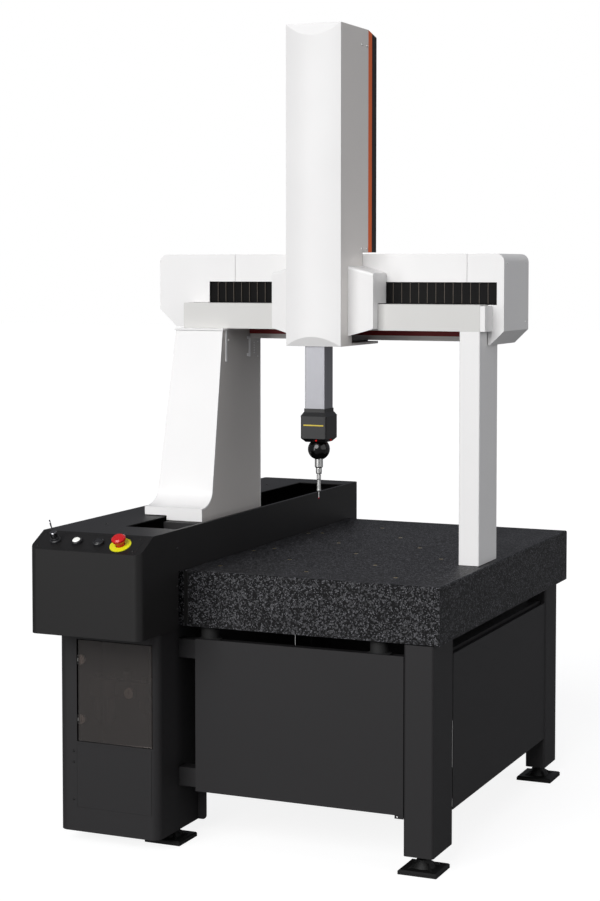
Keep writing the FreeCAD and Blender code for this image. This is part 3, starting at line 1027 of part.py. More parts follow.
def beam():
    """X guide beam with its front ledge, lower rail and red seal."""
    x1 = RIGHT_LEG_X + RIGHT_LEG_WIDTH
    outline = [(LEDGE_FRONT, LEG_TOP_Z), (BEAM_BACK, LEG_TOP_Z), (BEAM_BACK, BEAM_TOP), (BEAM_FACE, BEAM_TOP),
               (BEAM_FACE, LEDGE_TOP), (LEDGE_FRONT, LEDGE_TOP)]
    solid = prism_x(outline, BEAM_LEFT, x1)
    wall = BEAM_WALL
    hollow = block(BEAM_LEFT - 1, x1 + 1, BEAM_FACE + wall, BEAM_BACK - wall, LEG_TOP_Z + wall, BEAM_TOP - wall)
    scale = block(WINDOW_LEFT + BEAM_SCALE_INSET, x1 - BEAM_SCALE_INSET, BEAM_FACE - BEAM_SCALE_WIDTH - wall,
                  BEAM_FACE - wall, LEDGE_TOP, LEDGE_TOP + BEAM_SCALE_THICK)
    keep("x_beam", solid.cut(hollow).fuse(scale).removeSplitter())

    rail = block(LEG_INNER + LEG_CAP_OVERHANG + 1, RIGHT_LEG_X - 1, LOWER_RAIL_FRONT,
                 LOWER_RAIL_FRONT + LOWER_RAIL_DEPTH, LOWER_RAIL_BOTTOM, LEG_TOP_Z)
    keep("lower_rail", rail)
    seal = block(LEG_INNER + LEG_CAP_OVERHANG + 1, RIGHT_LEG_X - 1, LOWER_RAIL_FRONT - SEAL_THICK, LOWER_RAIL_FRONT,
                 SEAL_BOTTOM, LEG_TOP_Z)
    keep("red_rail_seal", seal)


def beam_covers():
    """Grey skirt over the ledge and the white covers over the beam."""
    x1 = RIGHT_LEG_X + RIGHT_LEG_WIDTH
    outline = [(SKIRT_FRONT, LEG_TOP_Z), (SKIRT_FRONT + SHEET, LEG_TOP_Z), (SKIRT_FRONT + SHEET, SKIRT_TOP - SHEET),
               (COVER_PLANE, SKIRT_TOP - SHEET), (COVER_PLANE, SKIRT_TOP), (SKIRT_FRONT, SKIRT_TOP)]
    skirt = prism_x(outline, BEAM_LEFT, x1)
    for x in (BEAM_LEFT + BRACKET_INSET, (BEAM_LEFT + x1) / 2, x1 - BRACKET_INSET):
        skirt = skirt.fuse(block(x, x + BRACKET, SKIRT_FRONT + SHEET, LEDGE_FRONT, LEG_TOP_Z + BRACKET,
                                 LEG_TOP_Z + 2 * BRACKET))
    keep("beam_skirt", skirt.removeSplitter())

    back = BEAM_COVER_BACK
    top = BEAM_COVER_TOP
    outline = [(COVER_PLANE, WINDOW_TOP), (COVER_PLANE + SHEET, WINDOW_TOP), (COVER_PLANE + SHEET, top - SHEET),
               (back - SHEET, top - SHEET), (back - SHEET, LEG_TOP_Z), (back, LEG_TOP_Z), (back, top),
               (COVER_PLANE, top)]
    cover = prism_x(outline, LEFT_SEAM + FIT, RIGHT_SEAM - FIT)
    for x in (LEFT_SEAM + BRACKET_INSET, (LEFT_SEAM + RIGHT_SEAM) / 2, RIGHT_SEAM - BRACKET_INSET - BRACKET):
        cover = cover.fuse(block(x, x + BRACKET, BEAM_FACE + BRACKET, BEAM_BACK - BRACKET, BEAM_TOP, top - SHEET))
    keep("beam_top_cover", cover.removeSplitter())


def rounded_top(shape, x):
    """Round the end cover's upper outer corner."""
    edges = [e for e in shape.Edges if abs(e.BoundBox.XMin - x) < 0.01 and abs(e.BoundBox.XMax - x) < 0.01
             and e.BoundBox.ZMin > BEAM_COVER_TOP - 0.01 and e.BoundBox.YLength > 1]
    return shape.makeFillet(END_CORNER, edges)


def end_covers():
    """White housings at both ends of the beam."""
    x0 = LEFT_COVER_LEFT
    top = BEAM_COVER_TOP
    low = LEG_TOP_Z + GAP
    outline = [(x0, low + LEFT_CHAMFER_RISE), (x0 + LEFT_CHAMFER, low), (LEFT_SEAM - FIT, low), (LEFT_SEAM - FIT, top),
               (x0, top)]
    outer = rounded_top(prism_y(outline, COVER_PLANE, BEAM_COVER_BACK), x0)
    w = SHEET
    inner = [(x0 + w, low + LEFT_CHAMFER_RISE + 1), (x0 + LEFT_CHAMFER + 1, low + w), (LEFT_SEAM + 5, low + w),
             (LEFT_SEAM + 5, top - w), (x0 + w, top - w)]
    cavity = prism_y(inner, COVER_PLANE + w, BEAM_COVER_BACK - w)
    edges = [e for e in cavity.Edges if abs(e.BoundBox.XMin - x0 - w) < 0.01 and abs(e.BoundBox.XMax - x0 - w) < 0.01
             and e.BoundBox.ZMin > top - w - 0.01]
    cavity = cavity.makeFillet(END_CORNER - w, edges)
    window = block(WINDOW_LEFT, LEFT_SEAM + 5, COVER_PLANE - 1, COVER_PLANE + w + 1, WINDOW_BOTTOM, WINDOW_TOP)
    mouth = block(BEAM_LEFT - GAP, LEFT_SEAM + 5, COVER_PLANE - 1, COVER_PLANE + w + 1, LEG_TOP_Z, SKIRT_TOP + 0.5)
    rest = block(LEG_TOP_OUTER - LEG_CAP_OVERHANG - 1, LEFT_SEAM + 5, COVER_PLANE - 1, BEAM_COVER_BACK + 1,
                 LEG_TOP_Z, low + w + FIT)
    keep("left_end_cover", outer.cut(cavity).cut(window).cut(mouth).cut(rest))

    x1 = RIGHT
    bottom = LEG_TOP_Z - RIGHT_COVER_DROP
    flat = x1 - RIGHT_CHAMFER
    edge = RIGHT_LEG_X + RIGHT_LEG_WIDTH + GAP
    outline = [(RIGHT_SEAM + FIT, top), (RIGHT_SEAM + FIT, low), (edge, low), (edge, bottom), (flat, bottom),
               (x1, LEG_TOP_Z), (x1, top)]
    outer = rounded_top(prism_y(outline, COVER_PLANE, BEAM_COVER_BACK), x1)
    inner = [(RIGHT_SEAM - 5, top - w), (RIGHT_SEAM - 5, low + w), (edge + w, low + w), (edge + w, bottom + 2 * w),
             (x1 - w, LEG_TOP_Z + 1.5), (x1 - w, top - w)]
    cavity = prism_y(inner, COVER_PLANE + w, BEAM_COVER_BACK - w)
    edges = [e for e in cavity.Edges if abs(e.BoundBox.XMin - x1 + w) < 0.01 and abs(e.BoundBox.XMax - x1 + w) < 0.01
             and e.BoundBox.ZMin > top - w - 0.01]
    cavity = cavity.makeFillet(END_CORNER - w, edges)
    window = block(RIGHT_SEAM - 5, WINDOW_RIGHT, COVER_PLANE - 1, COVER_PLANE + w + 1, WINDOW_BOTTOM, WINDOW_TOP)
    mouth = block(RIGHT_SEAM - 5, edge - 1, COVER_PLANE - 1, COVER_PLANE + w + 1, LEG_TOP_Z, SKIRT_TOP + 0.5)
    rest = block(RIGHT_SEAM - 5, edge - 1, COVER_PLANE - 1, BEAM_COVER_BACK + 1, LEG_TOP_Z, low + w + FIT)
    shell = outer.cut(cavity).cut(window).cut(mouth).cut(rest)
    tab_x = RIGHT_LEG_X + RIGHT_LEG_WIDTH + 0.3
    tab = block(tab_x, tab_x + END_TAB_WIDTH, SKIRT_FRONT, COVER_PLANE + w, LEG_TOP_Z, SKIRT_TOP - 3)
    tab = tab.cut(block(tab_x - 1, tab_x + END_TAB_WIDTH - w, SKIRT_FRONT + w, COVER_PLANE + 20, LEG_TOP_Z - 1,
                        SKIRT_TOP - 3 - w))
    keep("right_end_cover", shell.fuse(tab).removeSplitter())


# ---------------------------------------------------------------- carriage
def column_x():
    """Left and right sides of the spindle column."""
    return COLUMN_CENTRE - COLUMN_WIDTH / 2, COLUMN_CENTRE + COLUMN_WIDTH / 2


def bulged_front(inset, z0, z1, back):
    """Column front in plan: a shallow arc closed by a straight back."""
    x0, x1 = column_x()
    corner = COLUMN_FRONT + inset
    left = V(x0 + inset, corner, z0)
    right = V(x1 - inset, corner, z0)
    crown = V(COLUMN_CENTRE, COLUMN_FRONT - COLUMN_BULGE + inset, z0)
    edges = [Part.Arc(left, crown, right).toShape(),
             Part.LineSegment(right, V(x1 - inset, back, z0)).toShape(),
             Part.LineSegment(V(x1 - inset, back, z0), V(x0 + inset, back, z0)).toShape(),
             Part.LineSegment(V(x0 + inset, back, z0), left).toShape()]
    return Part.Face(Part.Wire(edges)).extrude(V(0, 0, z1 - z0))


def facet_cutters(inset):
    """Two leaning planes that trim the curved front into lens-shaped flats."""
    x0, x1 = column_x()
    front = COLUMN_FRONT + inset
    deep = COLUMN_BULGE + 8
    slope_top = FACET_TOP / COLUMN_BULGE
    slope_bottom = FACET_BOTTOM / COLUMN_BULGE
    top = TOTAL_HEIGHT
    bottom = COLUMN_BOTTOM
    upper = prism_x([(front, top), (front - deep, top - deep * slope_top), (front - deep, top + 1), (front, top + 1)],
                    x0 - 5, x1 + 5)
    lower = prism_x([(front, bottom), (front - deep, bottom + deep * slope_bottom), (front - deep, bottom - 1),
                     (front, bottom - 1)], x0 - 5, x1 + 5)
    return upper, lower


def column_covers():
    """White curved front, grey sides and top, orange trim and black back."""
    x0, x1 = column_x()
    top = TOTAL_HEIGHT
    w = SHEET
    skin_back = COLUMN_FRONT + FRONT_RETURN
    outer = bulged_front(0, COLUMN_BOTTOM, top, skin_back)
    inner = bulged_front(w, COLUMN_BOTTOM - 1, top - w, skin_back + 1)
    for cutter in facet_cutters(0):
        outer = outer.cut(cutter)
    for cutter in facet_cutters(w + 0.3):
        inner = inner.cut(cutter)
    keep("column_front", outer.cut(inner))

    y0 = skin_back + 0.3
    side = [(y0, COLUMN_BOTTOM), (LOWER_SIDE_BACK, COLUMN_BOTTOM), (LOWER_SIDE_BACK, LEG_TOP_Z + GAP),
            (SKIRT_FRONT - GAP, LEG_TOP_Z + GAP), (SKIRT_FRONT - GAP, SKIRT_TOP + GAP),
            (COVER_PLANE - GAP, SKIRT_TOP + GAP), (COVER_PLANE - GAP, CARRIAGE_OVER_BEAM),
            (SIDE_BACK, CARRIAGE_OVER_BEAM), (SIDE_BACK, top), (y0, top)]
    sides = prism_x(side, x0, x0 + w)
    sides = sides.fuse(prism_x(side, x1 - w, x1))
    sides = sides.fuse(block(x0, x1, y0, SIDE_BACK, top - w, top))
    sides = sides.fuse(block(x0, x1, COVER_PLANE - GAP, SIDE_BACK, CARRIAGE_OVER_BEAM, CARRIAGE_OVER_BEAM + w))
    keep("column_sides", sides.removeSplitter())

    low = CARRIAGE_OVER_BEAM
    slope = BEVEL / (COLUMN_BACK - SIDE_BACK)
    drop = slope * (TRIM_BACK - SIDE_BACK)
    ring = prism_x([(SIDE_BACK + 0.2, low), (TRIM_BACK, low), (TRIM_BACK, top - drop), (SIDE_BACK + 0.2, top)], x0, x1)
    hole = block(x0 + w, x1 - w, SIDE_BACK - 1, TRIM_BACK + 1, low + w, top - drop - w)
    keep("column_trim", ring.cut(hole))

    rear = prism_x([(TRIM_BACK + 0.2, low), (COLUMN_BACK, low), (COLUMN_BACK, top - BEVEL),
                    (TRIM_BACK + 0.2, top - drop)], x0, x1)
    cavity = block(x0 + w, x1 - w, TRIM_BACK - 1, COLUMN_BACK - w, low + w, top - BEVEL - w)
    keep("column_back", rear.cut(cavity))


def wing(side):
    """Fairing beside the column: slanted front, deep outer side, sloped top."""
    x0, x1 = column_x()
    inner_x = x0 - 0.3 if side < 0 else x1 + 0.3
    outer_x = inner_x + side * WING_REACH
    front = WING_FRONT_INNER - 10
    back = COVER_PLANE - GAP
    outline = [(inner_x, WING_INNER_BOTTOM), (outer_x, WING_OUTER_BOTTOM), (outer_x, WING_OUTER_TOP),
               (inner_x, WING_INNER_TOP)]
    outer = prism_y(outline, front, back)
    plan = [(inner_x - side * 5, front - 5), (inner_x - side * 5, WING_FRONT_INNER), (inner_x, WING_FRONT_INNER),
            (outer_x, WING_FRONT_OUTER), (outer_x + side * 5, WING_FRONT_OUTER), (outer_x + side * 5, front - 5)]
    outer = outer.cut(prism_z(plan, WING_INNER_BOTTOM - 20, WING_INNER_TOP + 20))
    w = SHEET
    inset = [(inner_x - side * 5, WING_INNER_BOTTOM - 20), (outer_x - side * w, WING_INNER_BOTTOM - 20),
             (outer_x - side * w, WING_OUTER_TOP - w), (inner_x - side * 5, WING_INNER_TOP - w + 1.3)]
    cavity = prism_y(inset, front, back + 1)
    plan = [(x, y + w if abs(y - front + 5) > 0.01 else y) for x, y in plan]
    cavity = cavity.cut(prism_z(plan, WING_INNER_BOTTOM - 40, WING_INNER_TOP + 20))
    rim = [e for e in outer.Edges if e.BoundBox.ZMin > WING_OUTER_TOP - 0.01 and e.BoundBox.YMax < WING_FRONT_OUTER + 0.01]
    outer = outer.makeFillet(WING_ROUND, rim)
    notch = block(min(outer_x, inner_x) - 10, max(outer_x, inner_x) + 10, SKIRT_FRONT - GAP, back + 5,
                  WING_INNER_BOTTOM - 20, SKIRT_TOP + GAP)
    return outer.cut(cavity).cut(notch)


def carriage():
    """Carriage casting round the spindle, its bearings and the plate under the beam."""
    x0, x1 = column_x()
    w = SHEET + 3
    low = COLUMN_BOTTOM + BASE_THICK + 1
    front = SPINDLE_Y - QUILL_DEPTH / 2 - FRAME_WALL
    frame = block(x0 + w, x1 - w, front, COVER_PLANE - 30, SKIRT_TOP + 3, FRAME_TOP)
    frame = frame.fuse(block(x0 + w, x1 - w, front, LOWER_SIDE_BACK - 2, low, SKIRT_TOP + 3))
    neck = block(COLUMN_CENTRE - NECK_WIDTH / 2, COLUMN_CENTRE + NECK_WIDTH / 2, COVER_PLANE - 30, BEAM_FACE - 12,
                 WINDOW_BOTTOM + 6, WINDOW_TOP - 4)
    frame = frame.fuse(neck)
    half_x = QUILL_WIDTH / 2 + QUILL_CLEARANCE
    half_y = QUILL_DEPTH / 2 + QUILL_CLEARANCE
    bore = block(COLUMN_CENTRE - half_x, COLUMN_CENTRE + half_x, SPINDLE_Y - half_y, SPINDLE_Y + half_y,
                 low - 1, FRAME_TOP + 1)
    keep("carriage_frame", frame.cut(bore).removeSplitter())

    pads = []
    for z in (WINDOW_BOTTOM + 16, WINDOW_TOP - 14):
        pads.append(Part.makeCylinder(8, 12 - AIR_GAP, V(COLUMN_CENTRE, BEAM_FACE - 12, z), V(0, 1, 0)))
    lip_y = LOWER_RAIL_FRONT + LOWER_RAIL_DEPTH
    pads.append(block(x0 + 30, x1 - 30, lip_y + AIR_GAP, BASE_BACK, COLUMN_BOTTOM + BASE_THICK, LEG_TOP_Z - 16))
    keep("carriage_bearings", *pads)

    z1 = COLUMN_BOTTOM + BASE_THICK
    plate = block(x0, x1, COLUMN_FRONT + 6, BASE_BACK, COLUMN_BOTTOM, z1)
    plate = plate.cut(block(COLUMN_CENTRE - half_x - 1, COLUMN_CENTRE + half_x + 1, SPINDLE_Y - half_y - 1,
                            SPINDLE_Y + half_y + 1, COLUMN_BOTTOM - 1, z1 + 1))
    for xs in ((x0 - 1, x0 + SHEET + 0.2), (x1 - SHEET - 0.2, x1 + 1)):
        plate = plate.cut(block(xs[0], xs[1], COLUMN_FRONT, LOWER_SIDE_BACK + 0.2, COLUMN_BOTTOM - 1, z1 + 1))
    keep("carriage_base", plate)
    keep("wing_fairings", wing(-1), wing(1))


def inner_drives():
    """Air cylinder that carries the spindle's weight, and the X drive motor."""
    y = SPINDLE_Y + BALANCE_BEHIND
    half = BALANCE_FLANGE / 2
    tube = rod(COLUMN_CENTRE, y, FRAME_TOP, BALANCE_TOP, BALANCE_RADIUS)
    for z in (FRAME_TOP, BALANCE_TOP - BALANCE_FLANGE_THICK):
        tube = tube.fuse(block(COLUMN_CENTRE - half, COLUMN_CENTRE + half, y - half, y + half, z,
                               z + BALANCE_FLANGE_THICK))
    keep("balance_cylinder", tube.removeSplitter())

    x1 = BEAM_LEFT - MOTOR_FLANGE_THICK
    y = (BEAM_FACE + BEAM_BACK) / 2
    z = (LEG_TOP_Z + BEAM_TOP) / 2
    half = MOTOR_FLANGE / 2
    motor = Part.makeCylinder(MOTOR_RADIUS, MOTOR_LENGTH, V(x1 - MOTOR_LENGTH, y, z), V(1, 0, 0))
    flange = block(x1, BEAM_LEFT - 0.1, y - half, y + half, z - half, z + half)
    keep("x_drive_motor", motor.fuse(flange).removeSplitter())


def bellows(x_fixed, x_moving):
    """Pleated way cover: a zigzag strip standing in the beam's front window."""
    count = max(2, round(abs(x_moving - x_fixed) / PLEAT_PITCH))
    step = (x_moving - x_fixed) / (2 * count)
    front = COVER_PLANE + SHEET + 1.0
    zigzag = []
    for k in range(2 * count + 1):
        zigzag.append((x_fixed + k * step, front + (PLEAT_DEPTH if k % 2 == 0 else 0)))
    shifted = [(x, y + PLEAT_THICK) for x, y in zigzag]
    return prism_z(zigzag + shifted[::-1], WINDOW_BOTTOM + 3, WINDOW_TOP - 1)


def both_bellows():
    """Left and right bellows, from the end covers to the carriage's neck."""
    gap = 0.5
    keep("bellows_left", bellows(WINDOW_LEFT + 1, COLUMN_CENTRE - NECK_WIDTH / 2 - gap))
    keep("bellows_right", bellows(WINDOW_RIGHT - 1, COLUMN_CENTRE + NECK_WIDTH / 2 + gap))


# ---------------------------------------------------------------- spindle and probe
def quill():
    """Rectangular spindle tube with a closed foot."""
    half_x = QUILL_WIDTH / 2
    half_y = QUILL_DEPTH / 2
    outer = block(COLUMN_CENTRE - half_x, COLUMN_CENTRE + half_x, SPINDLE_Y - half_y, SPINDLE_Y + half_y,
                  QUILL_BOTTOM, QUILL_TOP)
    outer = outer.makeFillet(1.5, upright_edges(outer, lambda x, y: True))
    inner = block(COLUMN_CENTRE - half_x + QUILL_WALL, COLUMN_CENTRE + half_x - QUILL_WALL,
                  SPINDLE_Y - half_y + QUILL_WALL, SPINDLE_Y + half_y - QUILL_WALL, QUILL_BOTTOM + 15, QUILL_TOP + 1)
    keep("quill", outer.cut(inner))


def square(x, y, z, size_x, size_y):
    """Rectangle wire centred on the spindle axis, for lofts."""
    points = []
    for sx, sy in ((-1, -1), (1, -1), (1, 1), (-1, 1), (-1, -1)):
        points.append(V(x + sx * size_x / 2, y + sy * size_y / 2, z))
    return Part.makePolygon(points)


def head_levels():
    """Heights of the probe head's sections, from the quill down."""
    collar = QUILL_BOTTOM - HEAD_COLLAR
    shoulder = collar - HEAD_FLARE
    waist = shoulder - HEAD_BODY
    bottom = waist - HEAD_TAPER
    return collar, shoulder, waist, bottom


def probe_head():
    """Motorised indexing head: adapter, body and the swivel ball below it."""
    x = COLUMN_CENTRE
    y = SPINDLE_Y
    collar, shoulder, waist, bottom = head_levels()
    plate = block(x - QUILL_WIDTH / 2 - 2, x + QUILL_WIDTH / 2 + 2, y - QUILL_DEPTH / 2 - 2, y + QUILL_DEPTH / 2 + 2,
                  collar, QUILL_BOTTOM)
    plate = plate.makeFillet(2, upright_edges(plate, lambda px, py: True))
    size = HEAD_SIZE
    flare = Part.makeLoft([square(x, y, collar, size - 14, size - 14), square(x, y, shoulder, size, size)], True, True)
    body = block(x - size / 2, x + size / 2, y - size / 2, y + size / 2, waist, shoulder)
    body = body.makeFillet(5, upright_edges(body, lambda px, py: True))
    taper = Part.makeLoft([square(x, y, waist, size - 3, size - 3), square(x, y, bottom, size - 22, size - 22)],
                          True, True)
    head = body.fuse([flare, taper])
    centre = bottom - BALL_DROP
    dome = Part.makeSphere(BALL_RADIUS + 0.5, V(x, y, centre))
    spigot = rod(x, y, bottom - 6, waist + 6, 9 + 0.05)
    keep("probe_head", head.cut(dome).cut(spigot).fuse(plate).removeSplitter())

    ball = Part.makeSphere(BALL_RADIUS, V(x, y, centre))
    slot = block(x - BALL_SLOT / 2, x + BALL_SLOT / 2, y - BALL_SLOT / 2, y + BALL_SLOT / 2, centre - 40,
                 centre + BALL_SLOT / 2)
    side = block(x - 40, x - 5, y - BALL_SLOT / 2, y + BALL_SLOT / 2, centre - 40, centre + BALL_WINDOW_TOP)
    ball = ball.cut(slot).cut(side)
    stem = rod(x, y, centre + 20, waist + 5, 9)
    ball = ball.fuse(stem)
    axle = Part.makeCylinder(4, BALL_SLOT + 10, V(x, y - BALL_SLOT / 2 - 5, centre), V(0, 1, 0))
    keep("swivel_ball", ball.fuse(axle).removeSplitter())

    z1 = centre - PROBE_TOP_DROP + 22
    z0 = centre - PROBE_LENGTH - 11
    outline = [(0, z1 - 2), (PROBE_RADIUS - 2, z1 - 2), (PROBE_RADIUS, z1 - 4), (PROBE_RADIUS, z0 + 3),
               (PROBE_RADIUS - 2, z0), (0, z0)]
    body = revolve_z(outline, x, y)
    bore = Part.makeCylinder(4.05, 40, V(x, y - 20, centre), V(0, 1, 0))
    low = z0 - MODULE_LENGTH
    outline = [(0, z0), (MODULE_RADIUS - 1, z0), (MODULE_RADIUS, z0 - 2), (MODULE_RADIUS, low + 5),
               (MODULE_RADIUS - 0.6, low + 4), (MODULE_RADIUS, low + 3), (MODULE_RADIUS - 1, low), (0, low)]
    half = PIVOT_LENGTH / 2
    socket = Part.makeCylinder(STYLUS_PIVOT_RADIUS + PIVOT_PLAY, PIVOT_LENGTH + 1, V(x, y - half - 0.5, low), V(0, 1, 0))
    keep("probe_body", body.fuse(revolve_z(outline, x, y)).cut(bore).cut(socket).removeSplitter())
    pivot = Part.makeCylinder(STYLUS_PIVOT_RADIUS, PIVOT_LENGTH, V(x, y - half, low), V(0, 1, 0))
    top = low - PIVOT_DROP
    foot = top - STEM_LENGTH
    tip = foot - STYLUS_LENGTH
    outline = [(0, low + 1), (1.6, low + 1), (2.2, top + 0.9), (STEM_RADIUS, top), (STEM_RADIUS, top - 12),
               (STEM_RADIUS - 0.6, top - 14),
               (STEM_RADIUS - 0.6, foot + 6), (STEM_RADIUS, foot + 5), (STEM_RADIUS, foot + 2),
               (STEM_RADIUS - 2, foot), (STYLUS_RADIUS, foot), (STYLUS_RADIUS, tip + 1.4), (0, tip + 1.4)]
    keep("stylus", revolve_z(outline, x, y).fuse(pivot).removeSplitter())
    keep("stylus_tip", Part.makeSphere(TIP_RADIUS, V(x, y, tip)).cut(rod(x, y, tip + 1.4, tip + 5, STYLUS_RADIUS + 0.6)))
    return tip


def build():
    """Make every node, check it and write one STEP file for each."""
    stand()
    panels()
    feet()
    granite_mounts()
    table()
    y_guide()
    control_box()
    guide_cover()
    switches()
    cabinet()
    cabinet_door()
    air_unit()
    left_leg()
    air_pads()
    right_leg()
    beam()
    beam_covers()
    end_covers()
    column_covers()
    carriage()
    both_bellows()
    inner_drives()
    quill()
    tip = probe_head()
    os.makedirs("parts", exist_ok=True)
    for name, shape in NODES.items():
        solids = shape.Solids
        valid = shape.isValid() and all(s.isClosed() for s in solids)
        note = "" if valid else "  NOT VALID"
        print(f"{name:22s} {len(solids):3d} solids  {shape.Volume / 1000:12.1f} cm3{note}")
        shape.exportStep(f"parts/{name}.step")
    print(len(NODES), "nodes; stylus tip at", tip)
    print("switch axis", SLOPE_NORMAL, "estop", slope_point(switch_xs()[3], CONTROL_ALONG))


build()
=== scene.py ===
# %% [markdown]
# # A bridge-type coordinate measuring machine
# This lesson dresses a machine whose solid parts already exist. Each cell below
# adds one finish or one piece. Everything is in metres, with +X to the operator's
# right and +Y away from them.

# %%
import math
import bmesh
import bpy
import numpy as np
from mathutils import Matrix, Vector


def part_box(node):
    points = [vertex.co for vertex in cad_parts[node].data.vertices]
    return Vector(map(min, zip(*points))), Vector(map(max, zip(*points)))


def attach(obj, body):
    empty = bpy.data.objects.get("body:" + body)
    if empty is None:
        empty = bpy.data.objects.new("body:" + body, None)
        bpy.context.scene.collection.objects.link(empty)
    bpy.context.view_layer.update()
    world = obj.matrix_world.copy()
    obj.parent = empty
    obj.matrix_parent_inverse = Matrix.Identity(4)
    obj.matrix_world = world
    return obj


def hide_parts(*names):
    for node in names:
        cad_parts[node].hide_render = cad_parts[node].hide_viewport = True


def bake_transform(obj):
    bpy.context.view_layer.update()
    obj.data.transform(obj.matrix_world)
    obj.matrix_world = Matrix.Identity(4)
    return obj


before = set(bpy.data.objects)
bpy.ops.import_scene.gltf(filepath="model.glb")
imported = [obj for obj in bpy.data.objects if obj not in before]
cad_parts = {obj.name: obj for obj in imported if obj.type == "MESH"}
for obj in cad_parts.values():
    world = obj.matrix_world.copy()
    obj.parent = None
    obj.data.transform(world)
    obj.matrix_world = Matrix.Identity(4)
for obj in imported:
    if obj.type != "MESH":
        bpy.data.objects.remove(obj)
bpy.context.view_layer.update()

# %% [markdown]
# ## Colours and one helper for shader nodes
# Colours are written as the hex values a paint chart would give. A shader works in
# linear light, so one function converts them. A second function adds a shader node,
# sets its settings and joins its sockets. That keeps each finish short enough to read.


# %%
def colour(text, alpha=1.0):
    """Hex sRGB colour as linear light: each channel passes through the sRGB curve."""
    values = [int(text[k:k + 2], 16) / 255 for k in (1, 3, 5)]
    linear = [v / 12.92 if v <= 0.04045 else ((v + 0.055) / 1.055) ** 2.4 for v in values]
    return (*linear, alpha)


def add(tree, kind, sockets=None, **settings):
    """Adds a shader node; a socket given as another node's output becomes a link."""
    node = tree.nodes.new(kind)
    for key, value in settings.items():
        setattr(node, key, value)
    for key, value in (sockets or {}).items():
        if isinstance(value, bpy.types.NodeSocket):
            tree.links.new(value, node.inputs[key])
        else:
            node.inputs[key].default_value = value
    return node


def new_material(name):
    """Empty node material with an output; returns the material and its tree."""
    material = bpy.data.materials.new(name)
    material.use_nodes = True
    tree = material.node_tree
    tree.nodes.clear()
    return material, tree


def finish_surface(tree, shader):
    """Joins a shader to the material's output."""
    add(tree, "ShaderNodeOutputMaterial", {"Surface": shader})


print("white chart value", [round(v, 3) for v in colour("#ECEBEB")])

# %% [markdown]
# ## Powder coat
# The covers are folded steel sheet with a baked powder coat. Powder melts into a film
# with a faint orange-peel texture, about a millimetre from crest to crest. Folded
# edges are never knife-sharp, so a bevel node rounds the light over them by 0.8 mm.
# Noise in object space drives it: a scale of 900 per metre gives a peel of 1.1 mm.

# %%
MM = 0.001


def powder_coat(name, chart, roughness, peel=0.06, edge=0.8 * MM, soil=0.03, grain=900.0, sheen=0.5):
    """Paint with orange peel, softened edges and very slight unevenness of shade."""
    material, tree = new_material(name)
    place = add(tree, "ShaderNodeTexCoord").outputs["Object"]
    peel_noise = add(tree, "ShaderNodeTexNoise", {"Vector": place, "Scale": grain, "Detail": 2.0})
    cloud = add(tree, "ShaderNodeTexNoise", {"Vector": place, "Scale": 3.5, "Detail": 3.0})
    shade = add(tree, "ShaderNodeMapRange", {"Value": cloud.outputs["Fac"], "From Min": 0.3, "From Max": 0.7,
                                             "To Min": 1.0 - soil, "To Max": 1.0 + soil / 2})
    tint = add(tree, "ShaderNodeVectorMath", {0: colour(chart)[:3]}, operation="SCALE")
    tree.links.new(shade.outputs["Result"], tint.inputs["Scale"])
    rough = add(tree, "ShaderNodeMapRange", {"Value": peel_noise.outputs["Fac"], "To Min": roughness - 0.05,
                                             "To Max": roughness + 0.05})
    rounded = add(tree, "ShaderNodeBevel", {"Radius": edge}, samples=4)
    bump = add(tree, "ShaderNodeBump", {"Strength": peel, "Distance": 0.2 * MM,
                                        "Height": peel_noise.outputs["Fac"],
                                        "Normal": rounded.outputs["Normal"]})
    shader = add(tree, "ShaderNodeBsdfPrincipled", {"Base Color": tint.outputs["Vector"],
                                                    "Roughness": rough.outputs["Result"], "IOR": 1.5,
                                                    "Specular IOR Level": sheen,
                                                    "Normal": bump.outputs["Normal"]})
    finish_surface(tree, shader.outputs["BSDF"])
    return material


WHITE = powder_coat("powder_coat_white", "#E6E5E4", 0.38)           # baked, satin
SIDE_GREY = powder_coat("powder_coat_side_grey", "#E2DEDA", 0.45)   # baked, satin
LEG_GREY = powder_coat("powder_coat_leg_grey", "#CBC7C3", 0.48)     # baked, satin
BEAM_GREY = powder_coat("powder_coat_beam_grey", "#CDCCC9", 0.45)   # baked, satin
ORANGE = powder_coat("powder_coat_orange", "#E8641A", 0.42)         # baked, satin
CHARCOAL = powder_coat("powder_coat_charcoal", "#222122", 0.55, 0.25, grain=1400.0, sheen=0.3)  # fine texture
BLACK_SHEET = powder_coat("powder_coat_black", "#1A1919", 0.5, 0.2, grain=1400.0, sheen=0.28)  # fine texture
BLACK_CAST = powder_coat("cast_iron_black_paint", "#0E0E0E", 0.55, 0.6, grain=500.0, sheen=0.3)  # sand-cast
SCREW_BLACK = powder_coat("steel_black_oxide", "#0A0A0A", 0.4, 0.1, edge=0.2 * MM)               # blackened
print("paints", len(bpy.data.materials))

# %% [markdown]
# ## Granite
# The table is black diabase, sawn, ground and lapped by hand. Its crystals are one to
# three millimetres across: black pyroxene, grey feldspar laths and a few bright grains.
# Two cell patterns give the crystals, and noise breaks up their edges. The lapped top
# is satin, so the reflection is broad and soft.


